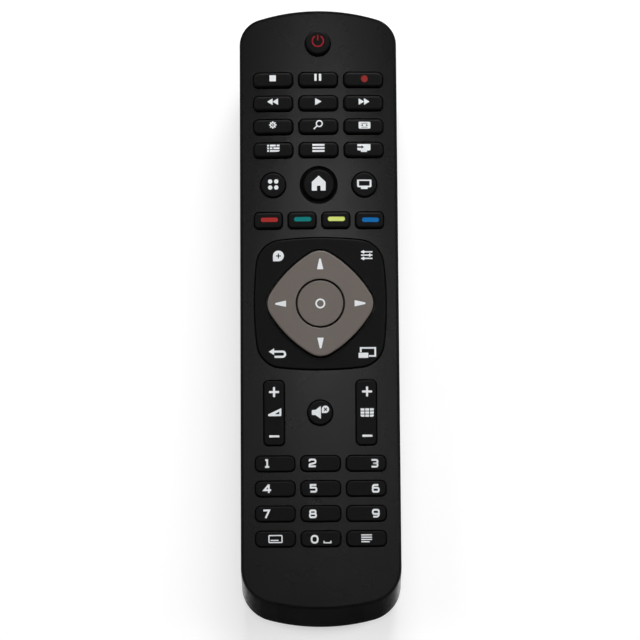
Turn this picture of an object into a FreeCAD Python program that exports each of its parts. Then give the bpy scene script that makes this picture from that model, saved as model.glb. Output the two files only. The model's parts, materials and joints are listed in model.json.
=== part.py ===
import FreeCAD, Part
import math
import os
import Sketcher

Vector = FreeCAD.Vector
Constraint = Sketcher.Constraint

# Driving sizes in millimetres, with plain ratios where the note says so.
# The handset lies on its back: X across, Y towards the infrared end, Z up through the keys.
SIZES = [
    # the case from outside
    ("front_height", 22.0, "rest plane to the crown of the front"),
    ("plate_top", 96.9, "origin to the top end of the front face"),
    ("plate_bottom", 90.1, "origin to the lower end of the front face"),
    ("top_half_width", 24.5, "half width where the top corners begin"),
    ("bottom_half_width", 24.9, "half width where the lower corners begin"),
    ("top_end_radius", 73.8, "arc of the top end in plan"),
    ("bottom_end_radius", 64.0, "arc of the lower end in plan"),
    ("top_corner_radius", 8.1, "plan radius of the top corners"),
    ("bottom_corner_radius", 11.5, "plan radius of the lower corners"),
    ("end_slope", 0.402, "how far the ends lean towards -Y per millimetre down, a ratio"),
    ("crown_radius", 220.0, "arc of the front across its width"),
    ("back_edge_radius", 6.0, "round along the edge of the back"),
    ("front_edge_radius", 1.0, "round along the edge of the front"),
    ("rise_start", 10.0, "where the back begins to climb towards the top end"),
    ("rise_slope", 0.075, "climb of the back per millimetre of length, a ratio"),
    # the case walls
    ("wall", 2.0, "side, end and back walls"),
    ("front_wall", 2.8, "front wall at its crown"),
    ("parting_height", 8.0, "where the two halves meet"),
    ("lip_height", 1.3, "how far the rear lip reaches into the front half"),
    ("lip_thickness", 0.9, "wall of the lip"),
    ("lip_gap", 0.1, "clearance round the lip"),
    ("key_gap", 0.38, "clearance between a key and its opening"),
    # board, contacts and key mat
    ("board_top", 16.0, "rest plane to the key side of the board"),
    ("board_thickness", 1.6, "circuit board"),
    ("board_tail", 73.7, "origin to the lower end of board and mat"),
    ("board_gap", 0.5, "clearance of board and mat inside the walls"),
    ("contact_thickness", 0.05, "printed carbon contact"),
    ("contact_radius", 2.2, "printed carbon contact"),
    ("mat_thickness", 0.8, "flat of the rubber key mat"),
    ("web_wall", 0.8, "wall of the rubber skirt under a key"),
    ("key_seat", 18.0, "rest plane to the underside of a key's flange"),
    ("key_travel", 0.8, "how far a key is pressed"),
    ("contact_gap", 0.05, "what is left at the end of the travel"),
    ("flange_thickness", 1.0, "retaining flange of a key"),
    ("flange_margin", 0.5, "how far the flange reaches past the opening"),
    ("plunger_radius", 2.0, "stem that meets the contact"),
    ("mat_hole_radius", 2.3, "hole in the mat round a contact"),
    # keys with straight travel
    ("power_y", 85.95, "power key centre"),
    ("power_radius", 4.15, "power key opening"),
    ("power_rise", 3.0, "power key above the front"),
    ("power_round", 0.7, "edge round of the power key"),
    ("menu_top_y", 74.5, "first row of the upper keys"),
    ("menu_column_pitch", 14.05, "upper keys, column to column"),
    ("menu_row_pitch", 7.34, "upper keys, row to row"),
    ("menu_width", 12.7, "opening of an upper key"),
    ("menu_length", 5.3, "opening of an upper key"),
    ("menu_corner", 1.9, "corner of that opening"),
    ("menu_rise", 1.3, "upper keys above the front"),
    ("menu_round", 0.8, "edge round of the upper keys"),
    ("home_row_y", 41.6, "row of round keys"),
    ("side_key_x", 14.2, "round keys beside the home key"),
    ("side_key_radius", 4.17, "opening of those keys"),
    ("side_key_rise", 0.5, "those keys above the front"),
    ("home_radius", 5.97, "home key opening"),
    ("home_gap", 1.24, "wide ring round the home key"),
    ("home_rise", 0.9, "home key above the front"),
    ("round_key_edge", 0.5, "edge round of the round keys"),
    ("colour_y", 30.45, "row of colour keys"),
    ("colour_pitch", 10.5, "colour keys, key to key"),
    ("colour_width", 9.25, "opening of a colour key"),
    ("colour_length", 5.7, "opening of a colour key"),
    ("colour_corner", 1.7, "corner of that opening"),
    ("colour_rise", 1.0, "colour keys above the front"),
    ("colour_round", 0.7, "edge round of the colour keys"),
    ("digit_top_y", -45.25, "first row of the number keys"),
    ("digit_column_pitch", 14.1, "number keys, column to column"),
    ("digit_row_pitch", 7.76, "number keys, row to row"),
    ("digit_width", 12.8, "opening of a number key"),
    ("digit_length", 5.35, "opening of a number key"),
    ("digit_corner", 1.9, "corner of that opening"),
    ("digit_rise", 0.1, "number keys above the front"),
    ("digit_round", 0.35, "edge round of the number keys"),
    ("rocker_y", -29.5, "rocker and mute key centres"),
    ("rocker_x", 14.3, "rocker centres either side"),
    ("mute_radius", 4.17, "mute key opening"),
    # rockers
    ("rocker_width", 6.9, "opening of a rocker"),
    ("rocker_length", 20.7, "opening of a rocker"),
    ("rocker_corner", 1.7, "corner of that opening"),
    ("rocker_rise", 0.15, "rockers above the front"),
    ("rocker_seat", 17.6, "rest plane to the underside of a rocker's flange"),
    ("rocker_flange", 0.6, "flange of a rocker"),
    ("rocker_stem_y", 7.0, "rocker stems from its middle"),
    ("tilt_stem_radius", 1.5, "stems of the tilting keys"),
    ("rocker_dip", 0.45, "gap under a rocker's stems"),
    # navigation cluster
    ("nav_x", 0.25, "centre of the cluster, across"),
    ("nav_y", 4.45, "centre of the cluster"),
    ("panel_half_width", 20.4, "corner panel"),
    ("panel_half_length", 20.5, "corner panel"),
    ("panel_side_radius", 110.0, "bulge of its sides"),
    ("panel_corner_radius", 8.0, "its corners"),
    ("panel_rise", 0.1, "panel above the front"),
    ("panel_round", 0.4, "edge round of the panel"),
    ("panel_wall", 1.5, "skirt of the panel"),
    ("panel_stem", 14.9, "panel stems from the centre, each way"),
    ("panel_dip", 0.5, "gap under the panel's stems"),
    ("panel_flange", 0.6, "flange of the corner panel"),
    ("cap_underside", 20.0, "rest plane to the underside of the panel and pad caps"),
    ("nav_flange", 0.7, "flange of the direction pad and of the select key"),
    ("pad_half_diagonal", 16.75, "direction pad, centre to tip"),
    ("pad_tip_radius", 6.2, "its tips"),
    ("pad_side_radius", 37.0, "bulge of its sides"),
    ("pad_gap", 0.35, "clearance between direction pad and panel"),
    ("pad_rise", 1.0, "direction pad above the front"),
    ("pad_round", 0.8, "edge round of the direction pad"),
    ("pad_wall", 1.2, "skirt of the direction pad"),
    ("pad_margin", 1.0, "its flange past its side"),
    ("pad_stem", 11.5, "direction pad stems from the centre"),
    ("pad_dip", 0.45, "gap under the direction pad's stems"),
    ("select_radius", 7.2, "select key"),
    ("select_gap", 0.35, "clearance of the select key in the direction pad"),
    ("select_margin", 1.2, "its flange past its side"),
    ("select_edge", 0.35, "edge round of the select key and its bore"),
    ("carrier_gap", 0.05, "rubber carriers above the mat"),
    ("carrier_inset", 2.0, "inner side of the carriers"),
    # battery door and compartment
    ("door_half_width", 18.0, "battery door"),
    ("door_front_y", -18.0, "front end of the battery door"),
    ("door_thickness", 2.0, "battery door"),
    ("door_gap", 0.3, "clearance round the battery door"),
    ("tongue_width", 0.7, "runner along each side of the door"),
    ("tongue_bottom", 0.6, "rest plane to the runner"),
    ("tongue_thickness", 0.8, "runner along each side of the door"),
    ("tongue_gap", 0.1, "clearance round the runner"),
    ("tongue_end_y", 86.0, "origin to the tail of the runners"),
    ("door_floor", 1.3, "case floor over the door"),
    ("door_floor_margin", 3.0, "case floor past the door's edges"),
    ("grip_width", 16.0, "finger ribs on the door"),
    ("grip_line", 1.0, "width of a groove between the ribs"),
    ("grip_depth", 0.5, "depth of a groove between the ribs"),
    ("grip_pitch", 2.2, "groove to groove"),
    ("grip_y", -26.0, "first groove"),
    ("cell_radius", 5.25, "battery cell"),
    ("cell_length", 44.5, "battery cell with its nub"),
    ("nub_radius", 1.9, "positive end of the cell"),
    ("nub_height", 0.8, "positive end of the cell"),
    ("cell_x", 5.6, "cell axes either side"),
    ("cell_play", 0.35, "cell above the door and below the roof"),
    ("tray_side_gap", 0.35, "cell to the side wall of the tray"),
    ("tray_front_y", -20.5, "inner front end of the tray"),
    ("tray_wall", 1.2, "battery tray"),
    ("plate_thickness", 0.4, "contact plates"),
    ("plate_width", 8.6, "contact plates"),
    ("plate_height", 8.6, "contact plates"),
    ("tab_width", 3.0, "solder tab of a contact plate"),
    ("spring_length", 5.6, "battery spring when a cell is in"),
    ("spring_radius", 3.2, "battery spring, first turn"),
    ("spring_wire", 0.35, "radius of the spring wire"),
    ("spring_turns", 5.0, "turns of the spring, a count"),
    ("spring_taper", 12.0, "half angle of the spring's cone, in degrees"),
    ("nub_clearance", 0.1, "nub to its contact plate"),
    # fastening
    ("screw_x", 9.0, "case screws either side"),
    ("screw_y", -79.0, "case screws"),
    ("screw_radius", 1.1, "thread of a case screw"),
    ("screw_head_radius", 2.1, "head of a case screw"),
    ("screw_head_height", 1.4, "head of a case screw"),
    ("screw_reach", 6.5, "thread in the front boss"),
    ("screw_gap", 0.2, "clearance of the screw in the rear boss"),
    ("thread_gap", 0.02, "thread to its pilot hole"),
    ("boss_radius", 3.2, "screw bosses"),
    ("post_x", 17.0, "board posts either side"),
    ("post_low_y", 30.0, "lower pair of board posts"),
    ("post_high_y", 72.0, "upper pair of board posts"),
    ("post_radius", 2.0, "board posts"),
    # infrared end
    ("window_half_width", 9.0, "infrared window"),
    ("window_bottom", 9.5, "rest plane to the window"),
    ("window_top", 14.0, "rest plane to the top of the window"),
    ("lamp_radius", 2.5, "infrared lamp"),
    ("lamp_height", 11.4, "rest plane to the lamp's axis"),
    ("lamp_back_y", 81.5, "back of the lamp"),
    ("lamp_barrel", 5.2, "straight part of the lamp"),
    ("lamp_rim", 0.4, "rim past the lamp's side"),
    ("lamp_rim_length", 1.0, "rim of the lamp"),
    ("leg_width", 0.5, "lamp legs"),
    ("leg_spacing", 2.54, "leg to leg"),
    ("leg_length", 3.0, "legs behind the lamp"),
    # parts under the board
    ("chip_y", 42.0, "controller"),
    ("chip_length", 10.3, "controller along the handset"),
    ("chip_width", 7.5, "controller across"),
    ("chip_height", 2.3, "controller body"),
    ("chip_foot", 1.4, "feet past the body"),
    ("chip_foot_width", 0.45, "one foot"),
    ("chip_foot_pitch", 1.27, "foot to foot"),
    ("chip_standoff", 0.1, "body below the board"),
    ("resonator_x", 10.0, "resonator"),
    ("resonator_y", 24.0, "resonator"),
    ("resonator_length", 10.5, "resonator can"),
    ("resonator_width", 4.4, "resonator can"),
    ("resonator_height", 3.4, "resonator can"),
    ("capacitor_x", -14.0, "capacitor's end"),
    ("capacitor_y", 18.0, "capacitor's axis"),
    ("capacitor_radius", 3.1, "capacitor can"),
    ("capacitor_length", 11.0, "capacitor can"),
    ("capacitor_gap", 0.05, "can below the board"),
]

MENU_KEYS = [
    ["stop_key", "pause_key", "record_key"],
    ["rewind_key", "play_key", "forward_key"],
    ["settings_key", "search_key", "format_key"],
    ["guide_key", "list_key", "source_key"],
]
COLOUR_KEYS = ["red_key", "green_key", "yellow_key", "blue_key"]
DIGIT_KEYS = [
    ["digit_1_key", "digit_2_key", "digit_3_key"],
    ["digit_4_key", "digit_5_key", "digit_6_key"],
    ["digit_7_key", "digit_8_key", "digit_9_key"],
    ["subtitle_key", "digit_0_key", "text_key"],
]
SIDES = (-1, 1)
REACH = 120.0  # farther than any part of the case, for cuts that pass right through


class Size:
    """A length known both as a number and as an expression on the sheet."""

    def __init__(self, value, text):
        self.value = value
        self.text = text

    def __add__(self, other):
        other = size_of(other)
        return Size(self.value + other.value, f"({self.text} + {other.text})")

    def __radd__(self, other):
        return size_of(other) + self

    def __sub__(self, other):
        other = size_of(other)
        return Size(self.value - other.value, f"({self.text} - {other.text})")

    def __rsub__(self, other):
        return size_of(other) - self

    def __mul__(self, other):
        other = size_of(other)
        return Size(self.value * other.value, f"({self.text} * {other.text})")

    def __rmul__(self, other):
        return size_of(other) * self

    def __truediv__(self, other):
        other = size_of(other)
        return Size(self.value / other.value, f"({self.text} / {other.text})")

    def __neg__(self):
        return size_of(0) - self


def size_of(value):
    """The value as a Size; a plain number stays a plain number on the sheet."""
    return value if isinstance(value, Size) else Size(float(value), repr(float(value)))


class Sheet:
    """The spreadsheet of driving sizes. sheet.wall is the Size whose alias is wall."""

    def __init__(self, document, rows):
        cells = document.addObject("Spreadsheet::Sheet", "Sizes")
        self.known = {}
        for row, (alias, value, note) in enumerate(rows, start=1):
            cells.set(f"A{row}", note)
            cells.set(f"B{row}", str(value))
            cells.setAlias(f"B{row}", alias)
            self.known[alias] = Size(value, f"Sizes.{alias}")
        document.recompute()

    def __getattr__(self, alias):
        return self.known[alias]


def bind(thing, **properties):
    """Tie properties of a document object to sizes; A__B names the property A.B."""
    for name, length in properties.items():
        thing.setExpression(name.replace("__", "."), size_of(length).text)


document = FreeCAD.newDocument("remote_control")
s = Sheet(document, SIZES)
NODES = {}  # node name: the object whose shape is written

ceiling = s.front_height - s.front_wall
board_bottom = s.board_top - s.board_thickness
contact_top = s.board_top + s.contact_thickness
mat_top = s.board_top + s.mat_thickness
crown_centre = s.front_height - s.crown_radius


# Bodies, planes and sketches

def new_body(name, at=None, base=None):
    """A body, placed at (x, y, z) sizes if given, on a base shape if given."""
    body = document.addObject("PartDesign::Body", name)
    if base is not None:
        body.BaseFeature = base
    if at is not None:
        x, y, z = at
        bind(body, Placement__Base__x=x, Placement__Base__y=y, Placement__Base__z=z)
    body.recompute(True)
    return body


def keep(name, thing):
    """Give an object its node name and list it for writing."""
    thing.Label = name
    NODES[name] = thing
    return thing


def new_sketch(body, name, role="XY_Plane", height=None):
    """A sketch on one of the body's own origin planes, raised to a height if given."""
    sketch = body.newObject("Sketcher::SketchObject", name)
    plane = next(f for f in body.Origin.OriginFeatures if f.Role == role)
    sketch.AttachmentSupport = [(plane, "")]
    sketch.MapMode = "FlatFace"
    if height is not None:
        sketch.AttachmentOffset = FreeCAD.Placement(Vector(0, 0, height.value), FreeCAD.Rotation())
        bind(sketch, AttachmentOffset__Base__z=height)
    return sketch


def dimension(sketch, kind, where, length):
    """A driving dimension whose value follows a size."""
    length = size_of(length)
    index = sketch.addConstraint(Constraint(kind, *where, length.value))
    name = f"size_{index}"
    sketch.renameConstraint(index, name)
    sketch.setExpression(f"Constraints.{name}", length.text)


def fix_point(sketch, geometry, point, x, y):
    """Place a point at (x, y) from the sketch's origin; 0 puts it on an axis."""
    for kind, length, axis in (("DistanceX", size_of(x), -2), ("DistanceY", size_of(y), -1)):
        if length.text == "0.0":
            sketch.addConstraint(Constraint("PointOnObject", geometry, point, axis))
        else:
            dimension(sketch, kind, (-1, 1, geometry, point), length)


def arc(x, y, radius, start, end):
    return Part.ArcOfCircle(Part.Circle(Vector(x, y, 0), Vector(0, 0, 1), radius), start, end)


def line(x0, y0, x1, y1):
    return Part.LineSegment(Vector(x0, y0, 0), Vector(x1, y1, 0))


def join_smoothly(sketch, first, count):
    """Tangent joints from the end of each piece of a loop to the start of the next."""
    for i in range(count):
        sketch.addConstraint(
            Constraint("Tangent", first + i, 2, first + (i + 1) % count, 1))


# Loops that the sketches are made of

def round_loop(sketch, radius, x=0, y=0):
    index = sketch.addGeometry(
        Part.Circle(Vector(size_of(x).value, size_of(y).value, 0), Vector(0, 0, 1),
                    size_of(radius).value))
    dimension(sketch, "Radius", (index,), radius)
    fix_point(sketch, index, 3, x, y)


def box_loop(sketch, left, right, low, high):
    """A rectangle between four sizes."""
    x0, x1, y0, y1 = (size_of(v).value for v in (left, right, low, high))
    first = sketch.GeometryCount
    sketch.addGeometry([line(x0, y0, x1, y0), line(x1, y0, x1, y1),
                        line(x1, y1, x0, y1), line(x0, y1, x0, y0)], False)
    for i in range(4):
        sketch.addConstraint(Constraint("Coincident", first + i, 2, first + (i + 1) % 4, 1))
    for i, kind in enumerate(("Horizontal", "Vertical", "Horizontal", "Vertical")):
        sketch.addConstraint(Constraint(kind, first + i))
    fix_point(sketch, first, 1, left, low)
    fix_point(sketch, first + 2, 1, right, high)


def slot_loop(sketch, width, length, corner, x=0, y=0):
    """A rectangle with round corners about (x, y): width along X, length along Y."""
    width, length, corner, x, y = (size_of(v) for v in (width, length, corner, x, y))
    w, h, r = width.value / 2, length.value / 2, corner.value
    cx, cy = x.value, y.value
    quarter = math.pi / 2
    first = sketch.GeometryCount
    sketch.addGeometry([
        line(cx - w + r, cy - h, cx + w - r, cy - h),
        arc(cx + w - r, cy - h + r, r, -quarter, 0),
        line(cx + w, cy - h + r, cx + w, cy + h - r),
        arc(cx + w - r, cy + h - r, r, 0, quarter),
        line(cx + w - r, cy + h, cx - w + r, cy + h),
        arc(cx - w + r, cy + h - r, r, quarter, 2 * quarter),
        line(cx - w, cy + h - r, cx - w, cy - h + r),
        arc(cx - w + r, cy - h + r, r, 2 * quarter, 3 * quarter),
    ], False)
    join_smoothly(sketch, first, 8)
    for i, kind in ((0, "Horizontal"), (2, "Vertical"), (4, "Horizontal"), (6, "Vertical")):
        sketch.addConstraint(Constraint(kind, first + i))
    for i in (3, 5, 7):
        sketch.addConstraint(Constraint("Equal", first + 1, first + i))
    dimension(sketch, "Radius", (first + 1,), corner)
    dimension(sketch, "DistanceX", (-1, 1, first + 6, 1), x - width / 2)
    dimension(sketch, "DistanceX", (-1, 1, first + 2, 1), x + width / 2)
    dimension(sketch, "DistanceY", (-1, 1, first, 1), y - length / 2)
    dimension(sketch, "DistanceY", (-1, 1, first + 4, 1), y + length / 2)


def bulged_loop(sketch, half_width, half_length, axis_radius, diagonal_radius, outset=0):
    """Eight tangent arcs about the origin: four crossing the axes and four between them.

    Large axis arcs give a square with bowed sides, and small ones a diamond with round tips.
    """
    outset = size_of(outset)
    across, along = half_width + outset, half_length + outset
    axis, diagonal = axis_radius + outset, diagonal_radius + outset
    a, d = axis.value, diagonal.value
    ax, ay = across.value - a, along.value - a
    # the diagonal arc's centre is |a - d| from two neighbouring axis centres
    middle = Vector(ax / 2, ay / 2, 0)
    half = math.hypot(ax, ay) / 2
    outward = Vector(abs(ay), abs(ax), 0).normalize() * (1 if d < a else -1)
    centre = middle + outward * math.sqrt((a - d) ** 2 - half ** 2)
    dx, dy = centre.x, centre.y
    if d < a:
        low = math.atan2(dy, dx - ax)
        high = math.atan2(dy - ay, dx)
    else:
        low = math.atan2(-dy, ax - dx)
        high = math.atan2(ay - dy, -dx)
    pi = math.pi
    first = sketch.GeometryCount
    sketch.addGeometry([
        arc(ax, 0, a, -low, low),
        arc(dx, dy, d, low, high),
        arc(0, ay, a, high, pi - high),
        arc(-dx, dy, d, pi - high, pi - low),
        arc(-ax, 0, a, pi - low, pi + low),
        arc(-dx, -dy, d, pi + low, pi + high),
        arc(0, -ay, a, pi + high, 2 * pi - high),
        arc(dx, -dy, d, 2 * pi - high, 2 * pi - low),
    ], False)
    join_smoothly(sketch, first, 8)
    for i in (2, 4, 6):
        sketch.addConstraint(Constraint("Equal", first, first + i))
    for i in (3, 5, 7):
        sketch.addConstraint(Constraint("Equal", first + 1, first + i))
    dimension(sketch, "Radius", (first,), axis)
    dimension(sketch, "Radius", (first + 1,), diagonal)
    fix_point(sketch, first, 3, across - axis, 0)
    fix_point(sketch, first + 4, 3, axis - across, 0)
    sketch.addConstraint(Constraint("PointOnObject", first + 2, 3, -2))
    sketch.addConstraint(Constraint("PointOnObject", first + 6, 3, -2))
    dimension(sketch, "DistanceY", (-1, 1, first + 2, 3), along - axis)
    dimension(sketch, "DistanceY", (-1, 1, first + 6, 3), axis - along)


def plan_loop(sketch, height, inset):
    """The case's outline in plan at a height, drawn in by an inset."""
    height, inset = size_of(height), size_of(inset)
    shift = (s.front_height - height) * s.end_slope
    top_radius, bottom_radius = s.top_end_radius - inset, s.bottom_end_radius - inset
    top_corner, bottom_corner = s.top_corner_radius - inset, s.bottom_corner_radius - inset
    top_half, bottom_half = s.top_half_width - inset, s.bottom_half_width - inset
    top_centre = s.plate_top - shift - s.top_end_radius
    bottom_centre = s.bottom_end_radius - s.plate_bottom - shift
    rt, rb, ct, cb = (v.value for v in (top_radius, bottom_radius, top_corner, bottom_corner))
    xt, xb = top_half.value - ct, bottom_half.value - cb
    yt = top_centre.value + math.sqrt((rt - ct) ** 2 - xt ** 2)
    yb = bottom_centre.value - math.sqrt((rb - cb) ** 2 - xb ** 2)
    at = math.atan2(yt - top_centre.value, xt)
    ab = math.atan2(yb - bottom_centre.value, xb)
    side = math.atan2(bottom_half.value - top_half.value, yt - yb)
    pi = math.pi
    out_x, out_y = math.cos(side), math.sin(side)
    lower = (xb + cb * out_x, yb + cb * out_y)
    upper = (xt + ct * out_x, yt + ct * out_y)
    first = sketch.GeometryCount
    sketch.addGeometry([
        arc(0, bottom_centre.value, rb, pi - ab, 2 * pi + ab),
        arc(xb, yb, cb, ab, side),
        line(lower[0], lower[1], upper[0], upper[1]),
        arc(xt, yt, ct, side, at),
        arc(0, top_centre.value, rt, at, pi - at),
        arc(-xt, yt, ct, pi - at, pi - side),
        line(-upper[0], upper[1], -lower[0], lower[1]),
        arc(-xb, yb, cb, pi - side, pi - ab),
    ], False)
    bottom, lower_right, right, upper_right, top, upper_left, left, lower_left = (
        first + i for i in range(8))
    join_smoothly(sketch, first, 8)
    for constraint in (
        Constraint("PointOnObject", bottom, 3, -2),
        Constraint("PointOnObject", top, 3, -2),
        Constraint("Horizontal", lower_right, 3, lower_left, 3),
        Constraint("Horizontal", upper_right, 3, upper_left, 3),
        Constraint("Equal", lower_right, lower_left),
        Constraint("Equal", upper_right, upper_left),
    ):
        sketch.addConstraint(constraint)
    dimension(sketch, "Radius", (bottom,), bottom_radius)
    dimension(sketch, "Radius", (top,), top_radius)
    dimension(sketch, "Radius", (lower_right,), bottom_corner)
    dimension(sketch, "Radius", (upper_right,), top_corner)
    dimension(sketch, "DistanceY", (-1, 1, bottom, 3), bottom_centre)
    dimension(sketch, "DistanceY", (-1, 1, top, 3), top_centre)
    dimension(sketch, "DistanceX", (-1, 1, right, 1), bottom_half)
    dimension(sketch, "DistanceX", (-1, 1, right, 2), top_half)


def crown_loop(sketch, rise, x=0):
    """All that lies above the front's arc, raised by rise, for a body centred at x."""
    radius = size_of(s.crown_radius + rise)
    span = s.bottom_half_width * 1.2
    top = s.front_height * 1.5
    cx, r, cz, w, z = -size_of(x).value, radius.value, crown_centre.value, span.value, top.value
    low, high = math.acos((w - cx) / r), math.acos((-w - cx) / r)
    left = (-w, cz + r * math.sin(high))
    right = (w, cz + r * math.sin(low))
    first = sketch.GeometryCount
    sketch.addGeometry([
        arc(cx, cz, r, low, high),
        line(left[0], left[1], -w, z),
        line(-w, z, w, z),
        line(w, z, right[0], right[1]),
    ], False)
    sketch.addConstraint(Constraint("Coincident", first, 2, first + 1, 1))
    sketch.addConstraint(Constraint("Coincident", first + 1, 2, first + 2, 1))
    sketch.addConstraint(Constraint("Coincident", first + 2, 2, first + 3, 1))
    sketch.addConstraint(Constraint("Coincident", first + 3, 2, first, 1))
    sketch.addConstraint(Constraint("Vertical", first + 1))
    sketch.addConstraint(Constraint("Horizontal", first + 2))
    sketch.addConstraint(Constraint("Vertical", first + 3))
    dimension(sketch, "Radius", (first,), radius)
    fix_point(sketch, first, 3, 0 if size_of(x).text == "0.0" else -x, crown_centre)
    dimension(sketch, "DistanceX", (-1, 1, first + 1, 2), -span)
    dimension(sketch, "DistanceX", (-1, 1, first + 3, 1), span)
    dimension(sketch, "DistanceY", (-1, 1, first + 1, 2), top)


# Features

def set_lean(feature):
    """Let a pad or pocket follow the lean of the case's ends."""
    feature.UseCustomVector = True
    feature.Direction = Vector(0, s.end_slope.value, 1)
    feature.AlongSketchNormal = True
    bind(feature, Direction__y=s.end_slope)


def pad(body, sketch, name, length, leaning=False):
    feature = body.newObject("PartDesign::Pad", name)
    feature.Profile = sketch
    feature.Length = size_of(length).value
    bind(feature, Length=length)
    if leaning:
        set_lean(feature)
    return feature


def refresh(body):
    """Bring one body and what it rests on up to date."""
    body.recompute(True)
    return body.Tip.Shape


def pocket(body, sketch, name, depth=None, up=False, both_ways=False, leaning=False):
    """Cut a sketch out of the body, downwards from its plane unless up is set."""
    before = refresh(body).Area
    feature = body.newObject("PartDesign::Pocket", name)
    feature.Profile = sketch
    feature.Reversed = up
    feature.Midplane = both_ways
    if depth is None:
        feature.Type = "ThroughAll"
    else:
        feature.Length = size_of(depth).value
        bind(feature, Length=depth)
    if leaning:
        set_lean(feature)
    if math.isclose(refresh(body).Area, before, rel_tol=1e-9):
        raise RuntimeError(f"{name} cuts nothing out of {body.Label}")
    return feature


def grid(body, sketch, feature, name, across, columns, along=None, rows=1):
    """Repeat a feature towards +X, and towards -Y if along is given."""
    pattern = body.newObject("PartDesign::LinearPattern", name)
    pattern.Originals = [feature]
    pattern.Direction = (sketch, ["H_Axis"])
    pattern.Occurrences = columns
    bind(pattern, Length=across * (columns - 1))
    if along is not None:
        pattern.Direction2 = (sketch, ["V_Axis"])
        pattern.Reversed2 = True
        pattern.Occurrences2 = rows
        bind(pattern, Length2=along * (rows - 1))
    body.Tip = pattern
    return pattern


def edge_names(shape, wanted):
    """Names of a shape's edges that are among the wanted ones."""
    return [f"Edge{i}" for i, edge in enumerate(shape.Edges, start=1)
            if any(edge.isSame(other) for other in wanted)]


def top_face(shape):
    """The crowned face."""
    arcs = [f for f in shape.Faces if isinstance(f.Surface, Part.Cylinder)
            and f.Surface.Radius > s.crown_radius.value / 2]
    return max(arcs, key=lambda f: f.Area)


def dress(body, kind, name, edges, amount):
    """A fillet or chamfer on edges of the body's present shape."""
    base = body.Tip
    feature = body.newObject(f"PartDesign::{kind}", name)
    feature.Base = (base, edge_names(base.Shape, edges))
    size = "Radius" if kind == "Fillet" else "Size"
    setattr(feature, size, size_of(amount).value)
    bind(feature, **{size: amount})
    refresh(body)
    return feature


# The case as a whole

def case_solid(name, height, top, inset, edge_radius):
    """A solid with the case's outline from a height up, with the back's climb and edge round."""
    body = new_body(name)
    plan = new_sketch(body, f"{name}_plan", height=height)
    plan_loop(plan, height, inset)
    pad(body, plan, f"{name}_prism", top - height, leaning=True)
    far = s.plate_top * 1.2
    climb = new_sketch(body, f"{name}_climb", "YZ_Plane")
    low = height - s.wall
    y0, y1, z0 = s.rise_start.value, far.value, height.value
    z1 = z0 + s.rise_slope.value * (y1 - y0)
    climb.addGeometry([line(y0, z0, y1, z1), line(y1, z1, y1, low.value),
                       line(y1, low.value, y0, low.value), line(y0, low.value, y0, z0)], False)
    for i in range(4):
        climb.addConstraint(Constraint("Coincident", i, 2, (i + 1) % 4, 1))
    climb.addConstraint(Constraint("Vertical", 1))
    climb.addConstraint(Constraint("Horizontal", 2))
    climb.addConstraint(Constraint("Vertical", 3))
    fix_point(climb, 0, 1, s.rise_start, height)
    dimension(climb, "DistanceX", (-1, 1, 0, 2), far)
    dimension(climb, "DistanceY", (-1, 1, 0, 2), height + s.rise_slope * (far - s.rise_start))
    dimension(climb, "DistanceY", (-1, 1, 2, 1), low)
    cut = pocket(body, climb, f"{name}_climb_cut", both_ways=True)
    under = [f for f in cut.Shape.Faces if f.normalAt(0, 0).z < -0.9]
    rim = [e for e in cut.Shape.Edges
           if sum(any(e.isSame(o) for o in f.Edges) for f in under) == 1]
    dress(body, "Fillet", f"{name}_back_edge", rim, edge_radius)
    return body


def make_case_form():
    """The outside of the whole case."""
    body = case_solid("case_form", size_of(0) * s.wall, s.front_height + s.wall, 0,
                      s.back_edge_radius)
    crown = new_sketch(body, "case_crown", "XZ_Plane")
    crown_loop(crown, 0)
    pocket(body, crown, "case_crown_cut", both_ways=True)
    dress(body, "Fillet", "case_front_edge", top_face(body.Tip.Shape).Edges, s.front_edge_radius)
    return body


def make_shell(form):
    """The case with its hollow, before it is divided."""
    cavity = case_solid("case_cavity", s.wall, ceiling, s.wall, s.back_edge_radius - s.wall)
    shell = document.addObject("Part::Cut", "case_shell")
    shell.Base = form
    shell.Tool = cavity
    document.recompute()
    return shell


def block(name, x, y, z, width, length, height):
    """A plain box from its low corner, for dividing the case and for square pieces."""
    box = document.addObject("Part::Box", name)
    bind(box, Length=width, Width=length, Height=height,
         Placement__Base__x=x, Placement__Base__y=y, Placement__Base__z=z)
    return box


def combine(kind, name, base, tool):
    result = document.addObject(f"Part::{kind}", name)
    result.Base = base
    result.Tool = tool
    document.recompute()
    return result


def cylinder(name, radius, height, x, y, z, axis=None):
    """A cylinder from the middle of its foot, upright unless an axis is given."""
    part = document.addObject("Part::Cylinder", name)
    if axis is not None:
        part.Placement = FreeCAD.Placement(Vector(), FreeCAD.Rotation(Vector(0, 0, 1), axis))
    bind(part, Radius=radius, Height=height,
         Placement__Base__x=x, Placement__Base__y=y, Placement__Base__z=z)
    return part


def group_of(name, pieces):
    """Separate solids under one node."""
    compound = document.addObject("Part::Compound", name)
    compound.Links = pieces
    document.recompute()
    return compound


def fused(name, pieces):
    fusion = document.addObject("Part::MultiFuse", name)
    fusion.Shapes = pieces
    document.recompute()
    return fusion


# Key openings: each family cuts the front, stands on the mat and meets the board

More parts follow.
